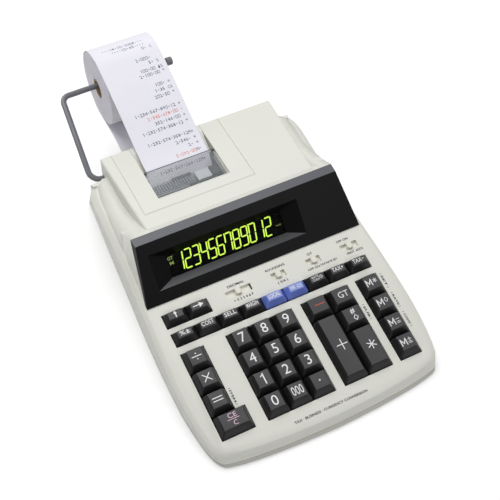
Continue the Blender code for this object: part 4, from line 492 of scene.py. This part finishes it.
# Marks of the keys, in millimetres from the middle of a key's top: kind, what, middle x, middle y, then
# words: height of capitals, width, weight; sign: reach, pen width, turn; pen or loop: scale, pen width.
letterM = ((-2.3, -2.8), (-2.3, 2.8), (0, -1.4), (2.3, 2.8), (2.3, -2.8))
note = ((-1.6, -1.1), (1.6, -1.1), (1.6, 1.1), (-1.6, 1.1))
shortBar = ((-1.5, 0), (1.5, 0))
lowerBars = (("pen", shortBar, 3.0, -1.15, 1, 0.4), ("pen", shortBar, 3.0, -2.4, 1, 0.4))
memoryLetter = ("pen", letterM, -2.6, 0, 1, 0.8)
keyMarks = {
    "key_1": (("pen", ((0.5, -4.1), (0.5, 4.1)), 0, 0, 1, 1.05),
              ("pen", ((-1.6, 2.3), (0.3, 3.7)), 0, 0, 1, 0.8)),
    "key_000": (("words", "000", 0, 0, 7.2, 9.8),),
    "key_point": (("sign", "point", 0, 0, 0.7, 0),),
    "key_divide": (("sign", "divide", 0, 0, 3.9, 0.75),),
    "key_multiply": (("sign", "multiply", 0, 0, 2.925, 0.75),),
    "key_equals": (("sign", "equals", 0, 0, 3.9, 0.75),),
    "key_plus": (("sign", "plus", 1.2, 0, 4.485, 0.75),),
    "key_minus": (("sign", "minus", 1.2, 0, 3.9, 0.75),),
    "key_total": (("sign", "star", 1.2, 0, 3.9, 0.75),),
    "key_subtotal": (("words", "#", 0.8, 3.1, 4.4, None, 0.02), ("sign", "diamond", 1.2, -3.2, 2.3, 0.6)),
    "key_grand_total": (("words", "GT", 1.2, 0, 5.2, 9.2),),
    "key_clear": (("words", "CE", 0, 3.2, 3.8, 7.2), ("pen", ((-4.8, 0), (4.8, 0)), 0, 0.1, 1, 0.45),
                  ("words", "C", 0.4, -3.2, 3.8, 3.4)),
    "key_exchange": (("loop", note, -2.9, 0.2, 1, 0.4), ("loop", note, 2.9, -0.2, 1, 0.4),
                     ("sign", "arrow", -2.9, 0.2, 1.0, 0.35)),
    "key_rate": (("words", "RATE", -1.2, 1.3, 1.9, 6.4), ("words", "CONV", -1.2, -1.3, 1.9, 6.4),
                 ("sign", "diamond", 3.7, 0, 1.5, 0.4)),
    "key_memory_total": (memoryLetter, ("sign", "star", 3.0, 0.6, 2.0, 0.5)),
    "key_memory_subtotal": (memoryLetter, ("sign", "diamond", 3.0, 0.6, 2.0, 0.5)),
    "key_memory_minus": (memoryLetter, ("sign", "minus", 3.0, 1.0, 1.5, 0.45), *lowerBars),
    "key_memory_plus": (memoryLetter, ("sign", "plus", 3.0, 1.0, 1.5, 0.45), *lowerBars),
    "key_feed": (("sign", "arrow", 0, 0, 2.8, 1.0, 90),),
    "key_backspace": (("sign", "arrow", 0, 0, 4.2, 0.8),),
    "key_percent": (("words", "%±", 0, 0.6, 3.6, 8.528, 0.015),),
}
for name, words in (("cost", "COST"), ("sell", "SELL"), ("margin", "MARGIN"), ("local", "LOCAL"),
                    ("tax_plus", "TAX+"), ("tax_minus", "TAX−")):
    keyMarks["key_" + name] = (("words", words, 0, 0.6, 3.6, 10.4, 0.015),)
for digit in "023456789":
    keyMarks["key_" + digit] = (("words", digit, 0, 0, 8.2),)
keyInks = {"key_minus": "redInk", "key_clear": "pinkInk"}


def drawMark(bm, middle, kind, what, x, y, size, width=None, last=0.0):
    place = middle @ Matrix.Translation((x * mm, y * mm, 0))
    if kind == "words":
        addWords(bm, what, size * mm, place, width and width * mm, last)
    elif kind == "sign":
        addSign(bm, what, size * mm, width * mm, place @ Matrix.Rotation(math.radians(last), 4, "Z"))
    else:
        points = [(px * size * mm, py * size * mm) for px, py in what]
        addStroke(bm, points, width * mm, place, kind == "loop")


def makeLegends():
    for node in keyNodes:
        middle = deckPlane @ Matrix.Translation((*keyTop(node), 0))
        bm = bmesh.new()
        for mark in keyMarks[node]:
            drawMark(bm, middle, *mark)
        longEdges = [e for e in bm.edges if e.calc_length() > legendFit["longEdge"]]
        bmesh.ops.subdivide_edges(bm, edges=longEdges, cuts=legendFit["cuts"], use_grid_fill=True)
        bmesh.ops.triangulate(bm, faces=bm.faces)
        mesh = meshFrom(bm, node + "_legend")
        dropOn(node, mesh, deckPlane)
        seat(newObject(node + "_legend", mesh), bodyOf[node], keyInks.get(node, "whiteInk"))


makeLegends()
print("key legends printed")

# Words and scales on the deck: words, middle x, middle y along the deck, height of capitals, width
deckWords = (
    ("DECIMAL", -23.6, 115.4, 2.0, 15.4), ("+ 0 2 3 4 6 F", -22.4, 102.0, 2.0, 17.8),
    ("ROUNDING", 13.3, 115.8, 2.0, 18.0), ("( 5/4 )", 14.0, 102.0, 1.9, 9.4),
    ("GT", 46.2, 115.6, 2.0, 5.0), ("OFF ON", 43.6, 102.2, 1.8, 11.4),
    ("TAX RATE SET", 58.0, 102.4, 1.8, 16.0), ("OFF ON", 78.0, 115.9, 2.0, 11.2),
    ("PRINT  ADD2", 83.5, 102.6, 1.8, 15.4),
)
frontWords = ("TAX · BUSINESS · CURRENCY CONVERSION", -1.0, -10.4, 2.0, 65.5)
# Small words beside the keys, turned along the columns, with a bracket at each end.
sideWords = (("SET", 92.7, 68.2), ("RATE", 92.9, 49.0), ("CONV", 93.0, 30.0), ("SUB", 65.2, 49.2),
             ("ITEM", -68.0, 29.4))
deckStyle = {
    "weight": 0.04, "curveSteps": 2, "sideHeight": 1.7 * mm, "sideWidth": 10.5 * mm, "bracketPen": 0.28 * mm,
    "bracket": ((6.6, -0.8), (7.0, 0), (6.6, 0.8)),
}


def makeDeckPrint():
    bm = bmesh.new()
    weight, curveSteps = deckStyle["weight"], deckStyle["curveSteps"]
    for words, x, y, height, width in deckWords + (frontWords,):
        place = planeAt(deckPlane, x * mm, y * mm)
        addWords(bm, words, height * mm, place, width * mm, weight, curveSteps)
    for words, x, y in sideWords:
        turned = planeAt(deckPlane, x * mm, y * mm, 0, math.radians(-90))
        addWords(bm, words, deckStyle["sideHeight"], turned, deckStyle["sideWidth"], weight, curveSteps)
        for side in (-1, 1):
            bracket = [(side * bx * mm, by * mm) for bx, by in deckStyle["bracket"]]
            addStroke(bm, bracket, deckStyle["bracketPen"], turned)
    piece = newObject("deck_print", meshFrom(bm, "deck_print"))
    return seat(piece, "calculator", "blackInk")


makeDeckPrint()


# Display

display = {
    "left": -62.5 * mm, "pitch": 7.40 * mm, "low": 17.5 * mm, "height": 15.4 * mm, "cellWidth": 5.5 * mm,
    "stroke": 1.15 * mm, "slant": 0.14, "number": "123456789012", "marksAfter": (3, 6, 9),
    "inset": 0.12, "markBefore": 0.4 * mm, "mark": ((-0.3, -1.6), (0.4, 0.6), (-0.5, 0.6)),
}
# Signs on the glass: words, height of capitals, middle x, middle y along the bezel, width, weight
displaySigns = (("GT", 2.6, -65.9, 30.4, 5.0, 0.03), ("M", 2.6, -65.7, 26.2, 3.4, 0.03),
                ("TAX+", 1.3, 32.0, 23.2, 5.4, 0.0))
segmentsOf = {"0": "abcdef", "1": "bc", "2": "abged", "3": "abgcd", "4": "fgbc", "5": "afgcd",
              "6": "afgedc", "7": "fabc", "8": "abcdefg", "9": "abcdfg"}


def makeDigits():
    # Seven-segment cells on the glass of the display, each lit segment a thin plate.
    w, h, t = display["cellWidth"], display["height"], display["stroke"]
    lines = {
        "a": ((0, h), (w, h)), "b": ((w, h), (w, h / 2)), "c": ((w, h / 2), (w, 0)), "d": ((0, 0), (w, 0)),
        "e": ((0, h / 2), (0, 0)), "f": ((0, h), (0, h / 2)), "g": ((0, h / 2), (w, h / 2)),
    }
    depth = max((bezelPlane.inverted() @ v.co).z for v in nodes["display_tube"].data.vertices)
    glass = planeAt(bezelPlane, 0, 0, depth)
    bm = bmesh.new()
    for k, digit in enumerate(display["number"]):
        for name in segmentsOf[digit]:
            (x0, y0), (x1, y1) = lines[name]
            along = Vector((x1 - x0, y1 - y0)).normalized()
            side = Vector((-along.y, along.x)) * t / 2
            start = Vector((x0, y0)) + along * t * display["inset"]
            end = Vector((x1, y1)) - along * t * display["inset"]
            tip = along * t / 2
            outline = [start, start + tip - side, end - tip - side, end, end - tip + side, start + tip + side]
            left = display["left"] + k * display["pitch"]
            slanted = [(left + p.x + p.y * display["slant"], display["low"] + p.y) for p in outline]
            addPrism(bm, slanted, glass)
    for k in display["marksAfter"]:
        x = display["left"] + k * display["pitch"] - display["markBefore"] + h * display["slant"]
        y = display["low"] + h
        addPrism(bm, [(x + dx * mm, y + dy * mm) for dx, dy in display["mark"]], glass)
    piece = newObject("display_digits", meshFrom(bm, "display_digits"))
    seat(piece, "calculator", "phosphor")
    bm = bmesh.new()
    for words, height, x, y, width, weight in displaySigns:
        addWords(bm, words, height * mm, planeAt(bezelPlane, x * mm, y * mm, depth), width * mm, weight)
    piece = newObject("display_signs", meshFrom(bm, "display_signs"))
    seat(piece, "calculator", "dimPhosphor")


makeDigits()
print("display lit")


# Printed paper tape

tape = {
    "platenGap": 0.5 * mm, "thickness": 0.16 * mm, "exit": Vector((224.2, 66.8)) * mm,
    "entry": Vector((248.0, 26.2)) * mm, "slot": Vector((262.0, 29.0)) * mm,
    "start": math.radians(-62), "leave": math.radians(-97), "touch": math.radians(112),
    "end": math.radians(28), "smooth": math.radians(40),
    "webShares": ((0.38, 0.09), (0.63, 0.42)),
    "runShares": ((0.0, 0.0), (0.10, 0.065), (0.20, 0.155), (0.36, 0.325), (0.56, 0.555), (0.78, 0.790)),
    "letter": 2.39 * mm, "letterWidth": 2.05 * mm, "letterHeight": 3.0 * mm, "rightEdge": 2.8 * mm,
    "weights": (0.01, 0.07), "zero": (0.80 * mm, 1.28 * mm), "zeroStroke": 0.36 * mm,
    "steps": {"under": 8, "wrap": 16, "over": 24, "curve": 6},
}
# Lines printed on the tape: millimetres from the tear edge, words, ink, and the middle's x, or None for
# a line that ends at the right edge.
tapeLines = (
    (120.9, "···18·10·2008···", "ribbonInk", -22.8),
    (115.8, "····10·35····", "ribbonInk", -19.2),
    (111.0, "0· C", "ribbonInk", -3.4),
    (100.4, "2·000·", "ribbonInk", -11.2),
    (95.4, "5· %", "ribbonInk", -3.2),
    (89.0, "100·00 Δ%", "ribbonInk", None),
    (84.3, "2·100·00 *", "ribbonInk", None),
    (73.2, "100· =", "ribbonInk", None),
    (67.8, "1·35 CX", "ribbonInk", None),
    (62.3, "202·50 *", "ribbonInk", None),
    (50.8, "1·234·567·890·12 +", "ribbonInk", None),
    (45.2, "2·345·678·00 −", "ribbonRed", None),
    (39.5, "352·146·00 +", "ribbonInk", None),
    (33.4, "1·232·574·358·12 *", "ribbonInk", None),
    (22.7, "1·232·574·358·12M+", "ribbonInk", None),
    (17.0, "2·546· ×", "ribbonInk", None),
    (11.6, "2· =", "ribbonInk", None),
    (5.1, "5·092·00  ", "ribbonRed", None),
    (5.1, "        M−", "ribbonInk", None),
    (-5.0, "1·232·569·266·12M+", "ribbonInk", None),
)


def curveThrough(points, steps):
    # Catmull-Rom curve through points in a plane.
    padded = [2 * points[0] - points[1], *points, 2 * points[-1] - points[-2]]
    result = []
    for a, b, c, d in zip(padded, padded[1:], padded[2:], padded[3:]):
        for step in range(steps):
            t = step / steps
            result.append(0.5 * (2 * b + (c - a) * t + (2 * a - 5 * b + 4 * c - d) * t ** 2
                                 + (3 * b - 3 * c + d - a) * t ** 3))
    result.append(points[-1])
    return result


def arcPoints(centre, radius, start, end, steps):
    return [centre + radius * Vector((math.cos(a), math.sin(a)))
            for a in (start + (end - start) * k / steps for k in range(steps + 1))]


def touchAngle(centre, radius, point, side):
    # Angle on a circle where a line from a point outside it touches.
    away = point - centre
    return math.atan2(away.y, away.x) + side * math.acos(radius / away.length)


def shared(start, end, shares):
    return [Vector((start.x + (end.x - start.x) * a, start.y + (end.y - start.y) * b)) for a, b in shares]


def tapePath():
    # Middle line of the tape in the plane of Y and Z: roll, rear slot, platen, tear edge, top of the roll.
    steps = tape["steps"]
    shift = Vector((caseFrame["origin"].y, caseFrame["origin"].z))
    rollMiddle = Vector((rollCentre.y, rollCentre.z))
    rollReach = (rollHigh[2] - rollLow[2]) / 2 + tape["platenGap"]
    low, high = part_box("platen_roller")
    platenMiddle = Vector(((low[1] + high[1]) / 2, (low[2] + high[2]) / 2))
    platenReach = (high[2] - low[2]) / 2 + tape["platenGap"]
    slot, entry, exitPoint = (tape[name] + shift for name in ("slot", "entry", "exit"))
    under = arcPoints(rollMiddle, rollReach, tape["start"], tape["leave"], steps["under"])
    meet = touchAngle(platenMiddle, platenReach, entry, -1) % math.tau
    part = touchAngle(platenMiddle, platenReach, exitPoint, 1)
    wrap = arcPoints(platenMiddle, platenReach, meet, part, steps["wrap"])
    web = curveThrough([under[-1], *shared(under[-1], slot, tape["webShares"]), slot, entry, wrap[0]],
                       steps["curve"])
    over = arcPoints(rollMiddle, rollReach, tape["touch"], tape["end"], steps["over"])
    run = curveThrough([*shared(exitPoint, over[0], tape["runShares"]), over[0]], steps["curve"])
    points = under[:-1] + web[:-1] + wrap + run[:-1] + over
    lengths = [0.0]
    for a, b in zip(points, points[1:]):
        lengths.append(lengths[-1] + (b - a).length)
    tear = lengths[len(under) - 1 + len(web) - 1 + len(wrap)]
    return points, [length - tear for length in lengths]


tapePoints, tapeLengths = tapePath()


def onTape(x, distance, lift):
    # A place on the printed side of the tape, by its distance from the tear edge.
    last = len(tapePoints) - 2
    k = 0
    while k < last and tapeLengths[k + 1] < distance:
        k += 1
    a, b = tapePoints[k], tapePoints[k + 1]
    along = (b - a).normalized()
    point = a + along * (distance - tapeLengths[k])
    normal = Vector((-along.y, along.x))
    point += normal * lift
    return Vector((x, point.x, point.y))


def makeTape():
    low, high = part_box("paper_tape")
    left, right = low[0], high[0]
    half = tape["thickness"] / 2
    bm = bmesh.new()
    rings = []
    for k, point in enumerate(tapePoints):
        before, after = tapePoints[max(k - 1, 0)], tapePoints[min(k + 1, len(tapePoints) - 1)]
        along = (after - before).normalized()
        normal = Vector((-along.y, along.x)) * half
        top, bottom = point + normal, point - normal
        ring = [(left, top.x, top.y), (right, top.x, top.y), (right, bottom.x, bottom.y),
                (left, bottom.x, bottom.y)]
        rings.append([bm.verts.new(corner) for corner in ring])
    for first, second in zip(rings, rings[1:]):
        for i in range(4):
            j = (i + 1) % 4
            bm.faces.new((first[i], first[j], second[j], second[i]))
    bm.faces.new(rings[0][::-1])
    bm.faces.new(rings[-1])
    bmesh.ops.recalc_face_normals(bm, faces=bm.faces)
    mesh = meshFrom(bm, "printed_tape")
    mesh.shade_smooth()
    mesh.set_sharp_from_angle(angle=tape["smooth"])
    piece = newObject("printed_tape", mesh)
    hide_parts("paper_tape")
    return finishTapePiece(piece, "paper")


def finishTapePiece(piece, material):
    # Gives a piece of the tape its material and bakes its placement into the mesh.
    piece.data.materials.append(looks[material])
    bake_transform(piece)
    return piece


def tapeSign(letter):
    # One sign of the printer's wheel, about its own middle. The zero is nearly a rectangle.
    if letter == "0":
        w, h = tape["zero"]
        bm = bmesh.new()
        addStroke(bm, [(-w, -h), (-w, h), (w, h), (w, -h)], tape["zeroStroke"], Matrix(), True)
        return meshFrom(bm, "zero")
    mesh = lettering(letter, tape["letterHeight"], tape["weights"][letter == "·"], 1)
    span = max(v.co.x for v in mesh.vertices) - min(v.co.x for v in mesh.vertices)
    if letter not in "·1−" or span > tape["letterWidth"]:
        mesh.transform(Matrix.Diagonal((tape["letterWidth"] / span, 1, 1, 1)))
    return mesh


def makeTapePrint():
    # Each sign stands in its own column, as a type wheel prints it.
    meshes = {"ribbonInk": bmesh.new(), "ribbonRed": bmesh.new()}
    for distance, words, ink, middle in tapeLines:
        count = len(words)
        for k, letter in enumerate(words):
            if letter == " ":
                continue
            if middle is None:
                x = tape["rightEdge"] - (count - 1 - k) * tape["letter"] - tape["letter"] / 2
            else:
                x = middle * mm + (k - (count - 1) / 2) * tape["letter"]
            mesh = tapeSign(letter)
            for v in mesh.vertices:
                v.co = onTape(x + v.co.x, distance * mm + v.co.y, tape["thickness"] / 2 + printLift + v.co.z)
            meshes[ink].from_mesh(mesh)
            bpy.data.meshes.remove(mesh)
    for ink, bm in meshes.items():
        name = "tape_print" if ink == "ribbonInk" else "tape_print_red"
        finishTapePiece(newObject(name, meshFrom(bm, name)), ink)


makeTape()
makeTapePrint()
print("tape printed")


# Rows of ribs in the printer, made by one geometry node tree

def ribTree(material):
    tree = bpy.data.node_groups.new("rib row", "GeometryNodeTree")
    for name, kind in (("Start", "NodeSocketVector"), ("End", "NodeSocketVector"), ("Count", "NodeSocketInt"),
                       ("Size", "NodeSocketVector")):
        tree.interface.new_socket(name=name, in_out="INPUT", socket_type=kind)
    tree.interface.new_socket(name="Geometry", in_out="OUTPUT", socket_type="NodeSocketGeometry")
    given = addNode(tree, "NodeGroupInput").outputs
    line = addNode(tree, "GeometryNodeMeshLine", {"mode": "END_POINTS"}, Count=given["Count"],
                   Start_Location=given["Start"], Offset=given["End"])
    rib = addNode(tree, "GeometryNodeMeshCube", Size=given["Size"])
    row = addNode(tree, "GeometryNodeInstanceOnPoints", Points=line.outputs[0], Instance=rib.outputs[0])
    real = addNode(tree, "GeometryNodeRealizeInstances", Geometry=row.outputs[0])
    painted = addNode(tree, "GeometryNodeSetMaterial", Geometry=real.outputs[0], Material=looks[material])
    addNode(tree, "NodeGroupOutput", i0=painted.outputs[0])
    return tree


def ribRow(name, body, material, sizes, plane=casePlane):
    # Evaluates the tree once and keeps the plain mesh.
    carrier = newObject(name + "_maker", bpy.data.meshes.new(name + "_maker"))
    modifier = carrier.modifiers.new("Ribs", "NODES")
    modifier.node_group = ribTree(material)
    for item in modifier.node_group.interface.items_tree:
        if item.in_out == "INPUT":
            modifier[item.identifier] = sizes[item.name]
    carrier.update_tag()
    bpy.context.view_layer.update()
    mesh = bpy.data.meshes.new_from_object(carrier.evaluated_get(bpy.context.evaluated_depsgraph_get()))
    mesh.transform(plane)
    bpy.data.objects.remove(carrier)
    piece = newObject(name, mesh)
    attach(piece, body)
    return piece


def plateFromBoxes(name, body, material, boxes, plane=casePlane, edge=0.2 * mm):
    bm = bmesh.new()
    for low, high in boxes:
        low, high = Vector(low) * mm, Vector(high) * mm
        matrix = plane @ Matrix.Translation((low + high) / 2) @ Matrix.Diagonal((*(high - low), 1))
        bmesh.ops.create_cube(bm, size=1, matrix=matrix)
    piece = newObject(name, meshFrom(bm, name))
    bevel = piece.modifiers.new("Broken edges", "BEVEL")
    bevel.width = edge
    bevel.segments = 2
    return seat(piece, body, material)


ribRow("guide_ribs", "calculator", "bars",
       {"Start": (-0.0500, 0.2104, 0.0562), "End": (-0.0160, 0.2104, 0.0562), "Count": 15,
        "Size": (0.0009, 0.0086, 0.0020)})
plateFromBoxes("guide_bars", "calculator", "bars", (
    ((-52.0, 205.2, 54.8), (-14.0, 206.4, 56.6)), ((-52.0, 214.0, 54.8), (-33.0, 215.4, 56.8))))
plateFromBoxes("guide_wire", "calculator", "panel", (((-52.0, 203.4, 56.2), (-21.0, 204.0, 56.8)),))
plateFromBoxes("hammer_bar", "calculator", "rubber", (
    ((-32.4, 213.8, 55.4), (-14.6, 216.0, 58.0)), ((2.2, 206.0, 54.8), (10.8, 215.6, 57.2))))
plateFromBoxes("hammer_plate", "calculator", "panel", (((-11.5, 205.0, 54.8), (1.4, 215.6, 57.0)),))

# Thin tan plates sunk in the gap along the cover's sides and front: painted shade in the gap.
seam = {"left": -71.35, "right": 29.45, "front": 17.85, "rear": 92.0, "low": -2.4, "high": -0.35, "half": 0.1}
plateFromBoxes("cover_seam_shade", "calculator", "seam", [
    ((x - seam["half"], seam["front"], seam["low"]), (x + seam["half"], seam["rear"], seam["high"]))
    for x in (seam["left"], seam["right"])] + [
    ((seam["left"], seam["front"] - seam["half"], seam["low"]),
     (seam["right"], seam["front"] + seam["half"], seam["high"]))], plateauPlane, 0.02 * mm)


tearLine = {"edgeDepth": 0.3, "inset": 0.3, "depth": 0.6, "height": 0.12, "edge": 0.03 * mm}


def makeTearLine():
    # A dark strip on the saw-tooth edge of the window, where the tape comes out: painted shade under the
    # edge.
    inverse = plateauPlane.inverted()
    points = [inverse @ v.co / mm for v in nodes["tear_window"].data.vertices]
    rear = max(p.y for p in points)
    edge = [p for p in points if p.y > rear - tearLine["edgeDepth"]]
    left, right = min(p.x for p in edge) + tearLine["inset"], max(p.x for p in edge) - tearLine["inset"]
    top = max(p.z for p in edge)
    box = ((left, rear - tearLine["depth"], top), (right, rear, top + tearLine["height"]))
    plateFromBoxes("tear_line_shade", bodyOf["tear_window"], "rubber",
                   (box,), plateauPlane, tearLine["edge"])


makeTearLine()
plateFromBoxes("mouth_wall", bodyOf["printer_cover"], "case",
               (((10.7, 28.6, -12.0), (11.3, 60.0, -2.6)),), plateauPlane, 0.1 * mm)
plateFromBoxes("tear_pins", "calculator", "black", (
    ((-54.3, 58.4, -0.9), (-52.2, 60.6, 0.3)), ((8.2, 58.4, -0.9), (11.0, 60.6, 0.3))), plateauPlane)
print("printer dressed")


# Floor, backdrop, light and camera

stage = {
    "floorSize": 4.0, "floorLevel": -0.2 * mm, "floorColour": "#d8d8d8", "floorRoughness": 0.9,
    "floorGlow": 0.45, "fill": 0.40, "backdrop": 1.0,
}


def makeFloor():
    bm = bmesh.new()
    bmesh.ops.create_grid(bm, x_segments=1, y_segments=1, size=stage["floorSize"],
                          matrix=Matrix.Translation((0, 0, stage["floorLevel"])))
    floor = newObject("floor", meshFrom(bm, "floor"))
    material = bpy.data.materials.new("White paper sweep")
    material.use_nodes = True
    tree = material.node_tree
    shader = tree.nodes["Principled BSDF"]
    shader.inputs["Base Color"].default_value = toLinear(stage["floorColour"])
    shader.inputs["Roughness"].default_value = stage["floorRoughness"]
    shader.inputs["Specular IOR Level"].default_value = 0.0
    rays = addNode(tree, "ShaderNodeLightPath")
    seen = addNode(tree, "ShaderNodeMath", {"operation": "MAXIMUM"}, i0=rays.outputs["Is Camera Ray"],
                   i1=rays.outputs["Is Glossy Ray"])
    seen = addNode(tree, "ShaderNodeMath", {"operation": "MAXIMUM"}, i0=seen.outputs[0],
                   i1=rays.outputs["Is Transmission Ray"])
    strength = addNode(tree, "ShaderNodeMath", {"operation": "MULTIPLY"}, i0=seen.outputs[0],
                       i1=stage["floorGlow"])
    tree.links.new(strength.outputs[0], shader.inputs["Emission Strength"])
    shader.inputs["Emission Color"].default_value = (1, 1, 1, 1)
    floor.data.materials.append(material)


def makeWorld():
    world = bpy.data.worlds.new("studio")
    bpy.context.scene.world = world
    world.use_nodes = True
    tree = world.node_tree
    background = tree.nodes["Background"]
    background.inputs["Color"].default_value = (1, 1, 1, 1)
    rays = addNode(tree, "ShaderNodeLightPath")
    strength = addNode(tree, "ShaderNodeMapRange", Value=rays.outputs["Is Camera Ray"],
                       To_Min=stage["fill"], To_Max=stage["backdrop"])
    tree.links.new(strength.outputs[0], background.inputs["Strength"])


def makeLight(name, place, target, size, watts):
    light = bpy.data.lights.new(name, "AREA")
    light.shape = "DISK"
    light.size = size
    light.energy = watts
    lamp = bpy.data.objects.new(name, light)
    bpy.context.scene.collection.objects.link(lamp)
    lamp.location = place
    lamp.rotation_euler = (Vector(target) - Vector(place)).to_track_quat("-Z", "Y").to_euler()


# The view, solved from the rows and columns of the keys in the photograph.
view = {
    "right": Vector((0.8903, -0.4553, 0.0)), "down": Vector((-0.3538, -0.6918, -0.6295)),
    "ahead": Vector((0.2866, 0.5605, -0.777)), "place": Vector((-244.1, -345.2, 697.3)) * mm,
    "lens": 73.6, "sensor": 36.0, "near": 0.01,
}


def makeCamera():
    camera = bpy.data.objects.new("camera", bpy.data.cameras.new("camera"))
    bpy.context.scene.collection.objects.link(camera)
    camera.data.lens = view["lens"]
    camera.data.sensor_width = view["sensor"]
    camera.data.clip_start = view["near"]
    camera.location = caseFrame["origin"] + view["place"]
    camera.rotation_euler = Matrix((view["right"], -view["down"], -view["ahead"])).transposed().to_euler()
    bpy.context.scene.camera = camera


makeFloor()
makeWorld()
makeLight("top softbox", (-0.10, 0.45, 1.25), (0, 0.05, 0.05), 0.9, 9.4)
makeLight("front fill", (0.5, -1.1, 0.9), (0, -0.05, 0.05), 0.8, 2.8)
makeCamera()
bpy.context.scene.view_settings.view_transform = "Standard"
print("stage set")
